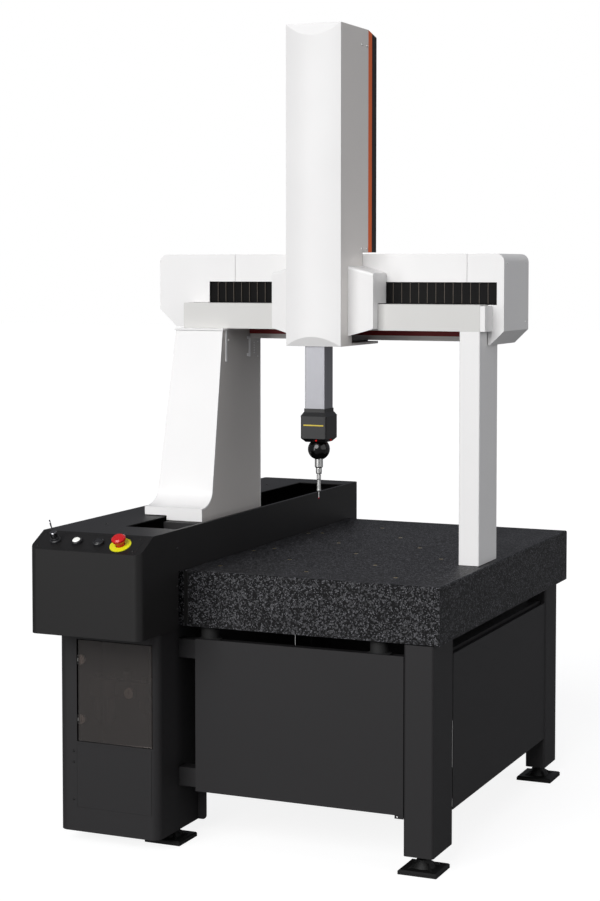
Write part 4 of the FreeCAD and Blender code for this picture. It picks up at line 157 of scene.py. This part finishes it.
# %%
def granite(name):
    """Two sizes of crystals, each cell with its own grey, over a nearly black ground."""
    material, tree = new_material(name)
    place = add(tree, "ShaderNodeTexCoord").outputs["Object"]
    wander = add(tree, "ShaderNodeTexNoise", {"Vector": place, "Scale": 500.0, "Detail": 2.0})
    shift = add(tree, "ShaderNodeVectorMath", {0: wander.outputs["Color"]}, operation="SCALE")
    shift.inputs["Scale"].default_value = 1.2 * MM
    spot = add(tree, "ShaderNodeVectorMath", {0: place, 1: shift.outputs["Vector"]}, operation="ADD")
    coarse = add(tree, "ShaderNodeTexVoronoi", {"Vector": spot.outputs["Vector"], "Scale": 210.0})
    fine = add(tree, "ShaderNodeTexVoronoi", {"Vector": spot.outputs["Vector"], "Scale": 420.0})
    grey = add(tree, "ShaderNodeSeparateColor", {"Color": coarse.outputs["Color"]})
    dust = add(tree, "ShaderNodeSeparateColor", {"Color": fine.outputs["Color"]})
    ramp = add(tree, "ShaderNodeValToRGB", {"Fac": grey.outputs["Red"]})
    ramp.color_ramp.elements[0].color = colour("#070708")
    ramp.color_ramp.elements[1].color = colour("#4A4A4C")
    ramp.color_ramp.elements.new(0.55).color = colour("#080809")
    ramp.color_ramp.elements.new(0.75).color = colour("#252527")
    bright = add(tree, "ShaderNodeMapRange", {"Value": dust.outputs["Green"], "From Min": 0.86,
                                              "From Max": 0.95})
    mixed = add(tree, "ShaderNodeMix", {"Factor": bright.outputs["Result"], 6: ramp.outputs["Color"],
                                        7: colour("#66666A")}, data_type="RGBA")
    rounded = add(tree, "ShaderNodeBevel", {"Radius": 0.6 * MM}, samples=4)
    shader = add(tree, "ShaderNodeBsdfPrincipled", {"Base Color": mixed.outputs[2], "Roughness": 0.5,
                                                    "IOR": 1.55,
                                                    "Specular IOR Level": 0.15,
                                                    "Normal": rounded.outputs["Normal"]})
    finish_surface(tree, shader.outputs["BSDF"])
    return material


GRANITE = granite("black_granite_lapped")
print("granite made")

# %% [markdown]
# ## Bare metals
# Turned, ground and brushed metal differ in the direction of their fine scratches.
# Here noise is stretched along one axis, so that it reads as brushing. The scratches
# change roughness and a hair of relief. Each call gives its own metal colour.


# %%
def metal(name, chart, roughness, stretch=(1.0, 1.0, 0.05), scratch=0.08, scale=1500.0):
    """Metal with fine scratches along the axis where stretch is small."""
    material, tree = new_material(name)
    place = add(tree, "ShaderNodeTexCoord").outputs["Object"]
    along = add(tree, "ShaderNodeVectorMath", {0: place, 1: stretch}, operation="MULTIPLY")
    lines = add(tree, "ShaderNodeTexNoise", {"Vector": along.outputs["Vector"], "Scale": scale,
                                             "Detail": 3.0})
    rough = add(tree, "ShaderNodeMapRange", {"Value": lines.outputs["Fac"], "From Min": 0.3, "From Max": 0.7,
                                             "To Min": roughness - 0.08, "To Max": roughness + 0.08})
    rounded = add(tree, "ShaderNodeBevel", {"Radius": 0.3 * MM}, samples=4)
    bump = add(tree, "ShaderNodeBump", {"Strength": scratch, "Distance": 0.05 * MM,
                                        "Height": lines.outputs["Fac"],
                                        "Normal": rounded.outputs["Normal"]})
    shader = add(tree, "ShaderNodeBsdfPrincipled", {"Base Color": colour(chart), "Metallic": 1.0,
                                                    "Roughness": rough.outputs["Result"],
                                                    "Normal": bump.outputs["Normal"]})
    finish_surface(tree, shader.outputs["BSDF"])
    return material


STEEL = metal("steel_satin", "#DADAD8", 0.32)                                   # turned, satin
ALUMINIUM = metal("aluminium_anodised", "#98989C", 0.38, (1.0, 1.0, 0.03))      # brushed along Z
GUIDE_METAL = metal("aluminium_ground", "#B8B8B6", 0.35, (1.0, 0.03, 1.0))      # ground along Y
BRONZE = metal("bronze_turned", "#C9B98F", 0.3, (1.0, 1.0, 1.0))                # turned, pale
CHROME = metal("chrome_plate", "#77777A", 0.12, (1.0, 1.0, 1.0), 0.02)          # plated, bright
print("metals made")

# %% [markdown]
# ## Plastics and rubber
# Moulded parts take a spark-eroded texture from the mould: a fine, even grain. Rubber
# is rougher and has no clear highlight. One function serves both, and glow lets a lit
# push button shine a little of its own light.


# %%
def moulded(name, chart, roughness, grain=0.1, glow=0.0, scale=1800.0):
    """Plastic or rubber with an even mould grain and softened edges."""
    material, tree = new_material(name)
    place = add(tree, "ShaderNodeTexCoord").outputs["Object"]
    speck = add(tree, "ShaderNodeTexNoise", {"Vector": place, "Scale": scale, "Detail": 2.0})
    rounded = add(tree, "ShaderNodeBevel", {"Radius": 0.5 * MM}, samples=4)
    bump = add(tree, "ShaderNodeBump", {"Strength": grain, "Distance": 0.1 * MM,
                                        "Height": speck.outputs["Fac"],
                                        "Normal": rounded.outputs["Normal"]})
    rough = add(tree, "ShaderNodeMapRange", {"Value": speck.outputs["Fac"], "To Min": roughness - 0.06,
                                             "To Max": roughness + 0.06})
    shader = add(tree, "ShaderNodeBsdfPrincipled", {"Base Color": colour(chart),
                                                    "Roughness": rough.outputs["Result"],
                                                    "IOR": 1.5, "Emission Color": colour(chart),
                                                    "Emission Strength": glow,
                                                    "Normal": bump.outputs["Normal"]})
    finish_surface(tree, shader.outputs["BSDF"])
    return material


BLACK_PLASTIC = moulded("plastic_black_moulded", "#1D1D1F", 0.38)           # spark-eroded grain
WHITE_LENS = moulded("plastic_white_lens", "#F2F2EC", 0.2, 0.02, 0.1)      # lit push button
RED_PLASTIC = moulded("plastic_red_gloss", "#C4161A", 0.25, 0.03)           # polished mould
YELLOW_PLATE = moulded("plastic_yellow_plate", "#DEDE18", 0.4)              # laminated disc
STRIPE_YELLOW = moulded("ink_yellow", "#C9B23A", 0.5, 0.02)                 # screen print
LAMP_RED = moulded("plastic_red_lamp", "#C01010", 0.2, 0.02, 0.35)           # small lit lamp
BALL_GLOSS = moulded("plastic_black_polished", "#060606", 0.12, 0.01)       # polished mould
DIAL_WHITE = moulded("plastic_dial_white", "#9A9A96", 0.4, 0.02)            # printed dial
HEAD_BLACK = moulded("plastic_black_head", "#0B0B0C", 0.35, 0.05)           # satin mould
FITTING_WHITE = moulded("nylon_white", "#FAFAFA", 0.45, 0.05)               # moulded clips
RED_RUBBER = moulded("rubber_dark_red", "#8B1A1A", 0.6, 0.2)                # extruded strip
BLACK_RUBBER = moulded("rubber_black", "#161616", 0.75, 0.3)                # damping rubber
GAUGE_CASE = moulded("plastic_gauge_case", "#6A6A68", 0.3)                  # moulded case
print("plastics made")


# %% [markdown]
# ## Clear pieces
# The cabinet door is smoked acrylic, five millimetres thick. What matters to the eye is
# that it darkens what stands behind it and mirrors the room at a glancing angle. A
# tinted transparent shader and a glossy one, mixed by the Fresnel term, give both
# without the noise that full refraction brings. The stylus tip is polished ruby.


# %%
def smoked(name, chart):
    """Tinted see-through sheet with a mirror-like skin."""
    material, tree = new_material(name)
    place = add(tree, "ShaderNodeTexCoord").outputs["Object"]
    haze = add(tree, "ShaderNodeTexNoise", {"Vector": place, "Scale": 14.0, "Detail": 4.0})
    rough = add(tree, "ShaderNodeMapRange", {"Value": haze.outputs["Fac"], "To Min": 0.02, "To Max": 0.12})
    clear = add(tree, "ShaderNodeBsdfTransparent", {"Color": colour(chart)})
    shine = add(tree, "ShaderNodeBsdfGlossy", {"Roughness": rough.outputs["Result"]})
    edge = add(tree, "ShaderNodeFresnel", {"IOR": 1.49})
    dust = add(tree, "ShaderNodeBsdfDiffuse", {"Color": colour("#8C8886")})
    sheet = add(tree, "ShaderNodeMixShader", {0: 0.1, 1: clear.outputs["BSDF"], 2: dust.outputs["BSDF"]})
    both = add(tree, "ShaderNodeMixShader", {0: edge.outputs["Fac"], 1: sheet.outputs["Shader"],
                                             2: shine.outputs["BSDF"]})
    finish_surface(tree, both.outputs["Shader"])
    return material


def gem(name, chart):
    """Polished stone: clear body colour with a bright skin and faint inner cloud."""
    material, tree = new_material(name)
    place = add(tree, "ShaderNodeTexCoord").outputs["Object"]
    cloud = add(tree, "ShaderNodeTexNoise", {"Vector": place, "Scale": 900.0})
    rough = add(tree, "ShaderNodeMapRange", {"Value": cloud.outputs["Fac"], "To Min": 0.02, "To Max": 0.08})
    shader = add(tree, "ShaderNodeBsdfPrincipled", {"Base Color": colour(chart),
                                                    "Roughness": rough.outputs["Result"],
                                                    "IOR": 1.76, "Transmission Weight": 0.4})
    finish_surface(tree, shader.outputs["BSDF"])
    return material


SMOKED = smoked("acrylic_smoked", "#C8C0BC")
RUBY = gem("ruby_polished", "#C01238")
print("clear pieces made")

# %% [markdown]
# ## Dressing the solid parts
# Every solid part gets the finish of the real one. A table of names keeps it readable:
# one row per finish. Parts that a later cell replaces with a finer piece are dressed
# too, so nothing is left bare.

# %%
DRESS = {
    WHITE: ["left_leg_cover", "right_leg", "beam_top_cover", "left_end_cover", "right_end_cover",
            "column_front", "wing_fairings"],
    SIDE_GREY: ["column_sides", "lower_rail", "carriage_base"],
    LEG_GREY: ["left_leg"],
    BEAM_GREY: ["beam_skirt"],
    ORANGE: ["column_trim"],
    CHARCOAL: ["stand_posts", "stand_rails", "stand_panels", "cabinet_shell", "cabinet_back_plate", "x_beam",
               "leg_base"],
    BLACK_SHEET: ["control_box", "control_panel", "guide_cover", "rear_cap", "column_back"],
    GRANITE: ["granite_table"],
    BRONZE: ["table_inserts"],
    STEEL: ["door_hinge_cups", "probe_body", "stylus", "air_unit_bracket"],
    ALUMINIUM: ["quill", "carriage_frame", "balance_cylinder", "x_drive_motor", "carriage_bearings",
                "bridge_air_pads"],
    GUIDE_METAL: ["y_guide_bar", "y_drive_bar"],
    BLACK_CAST: ["foot_pads", "foot_studs", "foot_locknuts", "door_hinge_eyes"],
    BLACK_RUBBER: ["granite_mounts", "bellows_left", "bellows_right"],
    BLACK_PLASTIC: ["switch_collars", "signal_button", "air_filters", "air_regulator"],
    BALL_GLOSS: ["swivel_ball"],
    HEAD_BLACK: ["probe_head"],
    WHITE_LENS: ["start_button"],
    RED_PLASTIC: ["estop_button"],
    YELLOW_PLATE: ["estop_disc"],
    RED_RUBBER: ["red_rail_seal"],
    CHROME: ["switch_key"],
    GAUGE_CASE: ["pressure_gauge"],
    SMOKED: ["cabinet_door"],
    RUBY: ["stylus_tip"],
}
for material, names in DRESS.items():
    for name in names:
        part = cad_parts[name]
        part.data.materials.clear()
        part.data.materials.append(material)
print("dressed", sum(len(names) for names in DRESS.values()), "parts")

# %% [markdown]
# ## Three helpers for small pieces
# A turned piece is a half profile swept round an axis, in numpy: one row of points per
# angle. A box piece is eight corners. Both are written straight into a mesh, with many
# copies in one piece, because twenty equal screws are one thing to the eye. Points that
# fall together at a pole are merged, so every form is closed.


# %%
def make_piece(name, points, faces, material, body, smooth=False, soft=0.0):
    """Mesh from numpy points and face rows, closed, dressed and joined to a moving body."""
    mesh = bpy.data.meshes.new(name)
    mesh.from_pydata(np.asarray(points, float).tolist(), [], [list(map(int, face)) for face in faces])
    work = bmesh.new()
    work.from_mesh(mesh)
    bmesh.ops.remove_doubles(work, verts=work.verts, dist=1e-6)
    bmesh.ops.recalc_face_normals(work, faces=work.faces)
    work.to_mesh(mesh)
    work.free()
    piece = bpy.data.objects.new(name, mesh)
    bpy.context.scene.collection.objects.link(piece)
    mesh.materials.append(material)
    if smooth:
        mesh.polygons.foreach_set("use_smooth", np.ones(len(mesh.polygons), bool))
        mesh.set_sharp_from_angle(angle=math.radians(35))
    if soft:
        bevel = piece.modifiers.new("soft_edges", "BEVEL")
        bevel.width = soft
        bevel.segments = 2
    if body:
        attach(piece, body)
    return piece


CORNERS = np.array([[0, 2, 4], [1, 2, 4], [1, 3, 4], [0, 3, 4], [0, 2, 5], [1, 2, 5], [1, 3, 5], [0, 3, 5]])
SIDES = np.array([[0, 3, 2, 1], [4, 5, 6, 7], [0, 1, 5, 4], [1, 2, 6, 5], [2, 3, 7, 6], [3, 0, 4, 7]])


def box_faces(count):
    """Six faces for each of a number of boxes with eight corners."""
    return (SIDES[None] + 8 * np.arange(count)[:, None, None]).reshape(-1, 4)


def boxes(name, rows, material, body, soft=0.0):
    """Boxes given by rows of x0, x1, y0, y1, z0, z1 in millimetres."""
    points = (np.asarray(rows, float) * MM)[:, CORNERS].reshape(-1, 3)
    return make_piece(name, points, box_faces(len(rows)), material, body, soft=soft)


def turned(name, profile, places, axis, material, body, steps=32):
    """Profile rows of radius and height, swept round an axis at every place (millimetres)."""
    profile = np.asarray(profile, float) * MM
    places = np.asarray(places, float) * MM
    up = np.asarray(axis, float) / np.linalg.norm(axis)
    side = np.cross(up, [0.3, 0.5, 0.81])
    side /= np.linalg.norm(side)
    other = np.cross(up, side)
    angle = np.arange(steps) * 2 * np.pi / steps
    ring = np.cos(angle)[:, None] * side + np.sin(angle)[:, None] * other
    one = ring[:, None, :] * profile[None, :, :1] + up * profile[None, :, 1:]
    points = (places[:, None, None, :] + one[None]).reshape(-1, 3)
    rows = len(profile)
    k, j = np.meshgrid(np.arange(steps), np.arange(rows - 1), indexing="ij")
    after = (k + 1) % steps
    here = k * rows + j
    there = after * rows + j
    quads = np.stack([here, there, there + 1, here + 1], -1).reshape(-1, 4)
    faces = (quads[None] + steps * rows * np.arange(len(places))[:, None, None]).reshape(-1, 4)
    return make_piece(name, points, faces, material, body, smooth=True)


def screws(name, places, axis, radius, material, body):
    """Button-head screws with a round socket, sitting on a face."""
    r = radius
    profile = [(0, -0.5), (r, -0.5), (r, 0.25 * r), (0.8 * r, 0.55 * r), (0.5 * r, 0.7 * r),
               (0.45 * r, 0.25 * r), (0, 0.25 * r)]
    return turned(name, profile, places, axis, material, body, steps=24)


print("helpers ready")

# %% [markdown]
# ## Way covers in the beam's window
# Black plates overlap like scales and slide over each other as the carriage moves. Each
# is 24.6 mm wide. Its trailing edge stands proud, and its rim carries a painted highlight:
# a lighter grey-brown stands for light caught on that edge and gives the row of thin
# upright lines. The plates are one saw-tooth strip: along X the front
# leans out over each pitch, then steps back.

# %%
PLATE_PITCH = 24.6
PLATE_LEAN = 3.0
STRIP_DEPTH = 5.0
RIM_HALF = 0.7


def way_cover(name, node, from_right):
    """Saw-tooth strip over the node's box: the front leans out by 3 mm over every pitch."""
    low, high = (np.array(c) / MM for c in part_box(node))
    count = max(2, int(round((high[0] - low[0]) / PLATE_PITCH)))
    step = (high[0] - low[0]) / count
    start = low[0] + step * np.arange(count)
    lean = (low[1] + PLATE_LEAN, low[1]) if from_right else (low[1], low[1] + PLATE_LEAN)
    x = np.stack([start, start + step], 1).ravel()
    y = np.tile(lean, count)
    line = np.stack([x, y], 1)
    back = np.array([[x[-1], low[1] + STRIP_DEPTH], [x[0], low[1] + STRIP_DEPTH]])
    outline = np.concatenate([line, back])
    n = len(outline)
    points = np.concatenate([np.column_stack([outline, np.full(n, z)]) for z in (low[2], high[2])]) * MM
    ring = np.arange(n)
    walls = np.stack([ring, (ring + 1) % n, (ring + 1) % n + n, ring + n], 1)
    faces = [list(w) for w in walls] + [list(ring[::-1]), list(ring + n)]
    strip = make_piece(name, points, faces, PLATE_BLACK, None)
    proud = start + (step if from_right else 0.0)
    # Each proud rim is coloured as a painted highlight for light caught on its edge.
    rims = [(e - RIM_HALF, e + RIM_HALF, low[1] - 0.4, low[1] + 1.2, low[2], high[2]) for e in proud]
    rim = boxes(name + "_rims", rims, RIM_PAINTED_HIGHLIGHT, None)
    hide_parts(node)
    return strip, rim


PLATE_BLACK = powder_coat("sheet_black_satin", "#080707", 0.5, 0.05, sheen=0.12)    # blackened spring sheet
RIM_PAINTED_HIGHLIGHT = powder_coat("sheet_edge_painted_highlight", "#554E46", 0.45, sheen=0.3)               # painted highlight: lighter colour for light caught on the proud edges
WAY_COVERS = (("way_cover_left", "bellows_left", True), ("way_cover_right", "bellows_right", False))
for name, node, right in WAY_COVERS:
    for piece in way_cover(name, node, right):
        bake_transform(piece)
print("way covers made")

# %% [markdown]
# ## Screws that hold the covers
# Covers come off for service, so each is held by a few small button-head screws. They
# are bright on the column, and black on the black sheet.

# %%
RIGHT_FACE = (1, 0, 0)
LEFT_FACE = (-1, 0, 0)
FRONT_FACE = (0, -1, 0)
TOP_FACE = (0, 0, 1)
COLUMN_RIGHT, COLUMN_LEFT = 128.5, -31.5
CABINET_FRONT = -590
BOX_WALL, BOX_TOP = -208, 848
COVER_END = 533.5
COLUMN_SPOTS = ((-75, 2140), (-38, 2140), (-38, 1585), (-75, 1585))
screws("column_screws", [(COLUMN_RIGHT, y, z) for y, z in COLUMN_SPOTS],
       RIGHT_FACE, 3.6, STEEL, "carriage")
screws("column_screws_left", [(COLUMN_LEFT, y, z) for y, z in COLUMN_SPOTS[:3]],
       LEFT_FACE, 3.6, STEEL, "carriage")
screws("cabinet_screws", [(-487, CABINET_FRONT, z) for z in (250, 221, 120)],
       FRONT_FACE, 3.0, SCREW_BLACK, "base")
screws("box_wall_screws", [(BOX_WALL, -528, z) for z in (800, 700, 640)],
       RIGHT_FACE, 3.4, SCREW_BLACK, "base")
screws("cover_top_screws", [(x, y, BOX_TOP) for x, y in ((-434.5, -500), (-434.5, 525), (-520, 100))],
       TOP_FACE, 3.4, SCREW_BLACK, "base")
screws("end_cover_screws", [(COVER_END, y, z) for y, z in ((-40, 1545), (130, 1545), (130, 1385))],
       RIGHT_FACE, 2.6, WHITE, "bridge")
print("screws placed")

# %% [markdown]
# ## Control face
# The sloped face is a plate with a thin groove round it and a screw near each corner.
# Places on it are given by x and by the distance down the slope. Two unit vectors, down
# the slope and out of it, turn them into points.

# %%
SLOPE_TOP = np.array([0.0, -658.0, 848.0])
SLOPE_DOWN = np.array([0.0, -74.5, -40.0])
SLOPE_LENGTH = float(np.linalg.norm(SLOPE_DOWN))
SLOPE_DOWN = SLOPE_DOWN / SLOPE_LENGTH
SLOPE_OUT = np.array([0.0, SLOPE_DOWN[2], -SLOPE_DOWN[1]])


def on_slope(x, along, out=0.0):
    """Point on the control face, millimetres: along is measured down the slope."""
    return SLOPE_TOP + np.array([x, 0.0, 0.0]) + SLOPE_DOWN * along + SLOPE_OUT * out


def slope_bars(name, rows, material, body):
    """Flat bars on the face; rows are x0, x1, along0, along1, low, high."""
    points = np.array([on_slope(row[a], row[b], row[c]) for row in rows for a, b, c in CORNERS]) * MM
    return make_piece(name, points, box_faces(len(rows)), material, body)


X0, X1 = -524.0, -229.5
A0, A1 = 9.5, SLOPE_LENGTH - 9.5
slope_bars("control_face_groove", [(X0 - 1, X1 + 1, A0 - 1, A0, 0, 0.3), (X0 - 1, X1 + 1, A1, A1 + 1, 0, 0.3),
                                   (X0 - 1, X0, A0, A1, 0, 0.3), (X1, X1 + 1, A0, A1, 0, 0.3)],
           SCREW_BLACK, "base")
screws("control_face_screws", [on_slope(x, a) for x in (X0 + 8, X1 - 8) for a in (A0 + 8, A1 - 8)],
       SLOPE_OUT, 2.6, SCREW_BLACK, "base")
print("control face finished")

# %% [markdown]
# ## Fittings on the left leg's inner side
# The grey inner side carries a guide slit for the cable, a small bracket with two fixing
# ears, and a row of screw heads. They are thin plates standing two millimetres proud.

# %%
SIDE = -256.8
boxes("leg_cable_slit", [(SIDE, SIDE + 2.2, -137, -129, 1271, 1361)],
      FITTING_WHITE, "bridge", 0.5 * MM)
boxes("leg_bracket", [(SIDE, SIDE + 2.4, 15.5, 24.5, 1279, 1339), (SIDE, SIDE + 1.6, 4, 15.5, 1330, 1338),
                      (SIDE, SIDE + 1.6, 4, 15.5, 1281, 1289)],
      FITTING_WHITE, "bridge", 0.4 * MM)
dots = [(SIDE, 53.0, z) for z in np.linspace(1289, 1318, 5)]
dots += [(SIDE, y, z) for y, z in ((78.0, 1320.0), (78.0, 1278.0), (9.0, 1334.0), (9.0, 1285.0))]
screws("leg_fixings", dots, RIGHT_FACE, 1.9, FITTING_WHITE, "bridge")
screws("leg_slit_screw", [(SIDE, -118.0, 1331.0)], RIGHT_FACE, 3.0, FITTING_WHITE, "bridge")
print("leg fittings made")

# %% [markdown]
# ## Probe head: stripe and lamps
# The head's front has a printed yellow stripe. Two tiny red lamps on the tapered foot
# show that the probe is armed.

# %%
HEAD_X, HEAD_Y = 48.5, -185.0
HALF = 38.5
HEAD_FRONT = HEAD_Y - HALF
LAMP_INSET, LAMP_Z = 4.6, 1066.5
boxes("head_stripe", [(HEAD_X - 29, HEAD_X + 29, HEAD_FRONT - 0.3, HEAD_FRONT, 1106.5, 1110)],
      STRIPE_YELLOW, "spindle")
lamp_dome = [(0, -1.5), (2.4, -1.5), (2.4, 0.6), (1.7, 1.4), (0, 1.8)]
turned("head_lamp_front", lamp_dome, [(HEAD_X + 6, HEAD_FRONT + LAMP_INSET, LAMP_Z)], (0, -0.72, -0.69),
       LAMP_RED, "spindle", 20)
turned("head_lamp_side", lamp_dome, [(HEAD_X + HALF - LAMP_INSET, HEAD_Y + 4, LAMP_Z)], (0.72, 0, -0.69),
       LAMP_RED, "spindle", 20)
print("probe head finished")

# %% [markdown]
# ## Air cabinet behind the door
# Behind the smoked sheet stand the filters and the regulator. The gauge gets a pale dial
# with a needle and a rim.

# %%
GAUGE = (-326.0, -581.0, 416.0)
DIAL_RADIUS = 13.5
turned("gauge_dial", [(0, -0.2), (DIAL_RADIUS, -0.2), (DIAL_RADIUS, 0.2), (0, 0.2)], [GAUGE], FRONT_FACE,
       DIAL_WHITE, "base", 40)
rim_profile = [(DIAL_RADIUS, -0.3), (16.2, -0.3), (16.2, 1.2), (14.2, 1.6), (DIAL_RADIUS, -0.3)]
turned("gauge_rim", rim_profile, [GAUGE], FRONT_FACE, CHROME, "base", 40)
boxes("gauge_needle", [(-326.6, -325.4, -581.9, -581.5, 414, 427)], SCREW_BLACK, "base")
print("air cabinet finished")

# %% [markdown]
# ## Sheet details on the stand and cabinet
# A black edge plate closes the granite's left front end. Rubber seals behind the stand's
# infill panels close their joints with the round-edged posts, so no light shows through.
# A thin seam marks the lower access panel of the cabinet.

# %%
boxes("granite_edge_plate", [(-207.5, -196, -491.6, -490.6, 596, 736)],
      SCREW_BLACK, "base", 0.3 * MM)
boxes("panel_edge_seals", [(404, 411, -482.4, -480, 142, 557), (480.2, 482.8, -341, -334, 138, 544),
                           (480.2, 482.8, 473.5, 480.5, 138, 544), (427, 434, 587, 589.4, 138, 544),
                           (-258, -251, 587, 589.4, 138, 544), (-318.4, -316, 473.5, 480.5, 138, 544)],
      BLACK_RUBBER, "base")
SEAM_FRONT, SEAM_BACK = -590.25, -589.9
boxes("cabinet_panel_seam", [(-478, -254, SEAM_FRONT, SEAM_BACK, 269.2, 270),
                             (-478, -254, SEAM_FRONT, SEAM_BACK, 100, 100.8),
                             (-478, -477.2, SEAM_FRONT, SEAM_BACK, 100, 270),
                             (-254.8, -254, SEAM_FRONT, SEAM_BACK, 100, 270)],
      SCREW_BLACK, "base")
print("sheet details made")

# %% [markdown]
# ## Floor and light
# The machine stands on a pale floor in soft studio light. One wide sun from the front
# stands for a large soft box, and its wide angle makes the shadows soft. A weak fill
# lights the right-hand sides, and a tall strip box at the front left lays a soft band on
# the column. Floor and sky are dim for light and bright for the eye, so the floor runs
# into the backdrop and the right-hand sides stay in quiet shade.

# %%
FLOOR, floor_tree = new_material("floor_pale_matt")
floor_place = add(floor_tree, "ShaderNodeTexCoord").outputs["Object"]
floor_noise = add(floor_tree, "ShaderNodeTexNoise", {"Vector": floor_place, "Scale": 1.2, "Detail": 5.0})
floor_rough = add(floor_tree, "ShaderNodeMapRange", {"Value": floor_noise.outputs["Fac"], "To Min": 0.75,
                                                     "To Max": 0.9})
floor_eye = add(floor_tree, "ShaderNodeLightPath").outputs["Is Camera Ray"]
floor_glow = add(floor_tree, "ShaderNodeMapRange", {"Value": floor_eye, "To Min": 0.02, "To Max": 0.86})
floor_shader = add(floor_tree, "ShaderNodeBsdfPrincipled", {"Base Color": colour("#8A8A8A"),
                                                            "Roughness": floor_rough.outputs["Result"],
                                                            "Specular IOR Level": 0.05,
                                                            "Emission Color": colour("#FFFFFF"),
                                                            "Emission Strength":
                                                                floor_glow.outputs["Result"]})
finish_surface(floor_tree, floor_shader.outputs["BSDF"])
bpy.ops.mesh.primitive_plane_add(size=80.0)
floor = bpy.context.object
floor.name = "floor"
floor.data.materials.append(FLOOR)


def sun(name, aim, strength, angle):
    """Even light that travels along a direction; a wide angle softens its shadows."""
    data = bpy.data.lights.new(name, "SUN")
    data.energy = strength
    data.angle = math.radians(angle)
    made = bpy.data.objects.new(name, data)
    made.rotation_euler = Vector(aim).to_track_quat("-Z", "Y").to_euler()
    bpy.context.scene.collection.objects.link(made)
    return made


sun("soft_box", (0.1, 1.0, -0.55), 2.45, 40.0)
sun("right_fill", (-1.0, 0.25, -0.35), 0.75, 60.0)
strip = bpy.data.lights.new("strip_box", "AREA")
strip.shape = "RECTANGLE"
strip.size = 0.9
strip.size_y = 3.0
strip.energy = 40.0
strip_holder = bpy.data.objects.new("strip_box", strip)
strip_holder.location = (-2.2, -4.9, 1.7)
STRIP_TARGET = Vector((0.05, -0.2, 1.35))
strip_aim = STRIP_TARGET - strip_holder.location
strip_holder.rotation_euler = strip_aim.to_track_quat("-Z", "Y").to_euler()
bpy.context.scene.collection.objects.link(strip_holder)
world = bpy.data.worlds.new("pale_studio")
bpy.context.scene.world = world
world.use_nodes = True
sky = world.node_tree
sky.nodes.clear()
seen = add(sky, "ShaderNodeBackground", {"Color": colour("#FFFFFF"), "Strength": 1.0})
light = add(sky, "ShaderNodeBackground", {"Color": colour("#F4F6FF"), "Strength": 0.24})
eye = add(sky, "ShaderNodeLightPath").outputs["Is Camera Ray"]
mixed_sky = add(sky, "ShaderNodeMixShader", {0: eye, 1: light.outputs["Background"],
                                             2: seen.outputs["Background"]})
add(sky, "ShaderNodeOutputWorld", {"Surface": mixed_sky.outputs["Shader"]})
bpy.context.scene.view_settings.view_transform = "Standard"
print("lights", len(bpy.data.lights))

# %% [markdown]
# ## Camera
# The camera stands five metres off with a long lens, so upright lines stay upright. Its
# lens is shifted a little, as on a view camera, to look down without tilting.

# %%
CAMERA_YAW = math.radians(23.65)
CAMERA_PITCH = math.radians(-3.17)
camera_data = bpy.data.cameras.new("camera")
camera_data.lens = 77.1
camera_data.sensor_width = 36.0
camera_data.shift_x = -0.0011
camera_data.shift_y = -0.0838
camera = bpy.data.objects.new("camera", camera_data)
camera.location = (2.1010, -4.9932, 1.5324)
camera.rotation_euler = (math.pi / 2 + CAMERA_PITCH, 0.0, CAMERA_YAW)
bpy.context.scene.collection.objects.link(camera)
bpy.context.scene.camera = camera
print("camera at", tuple(round(v, 2) for v in camera.location))
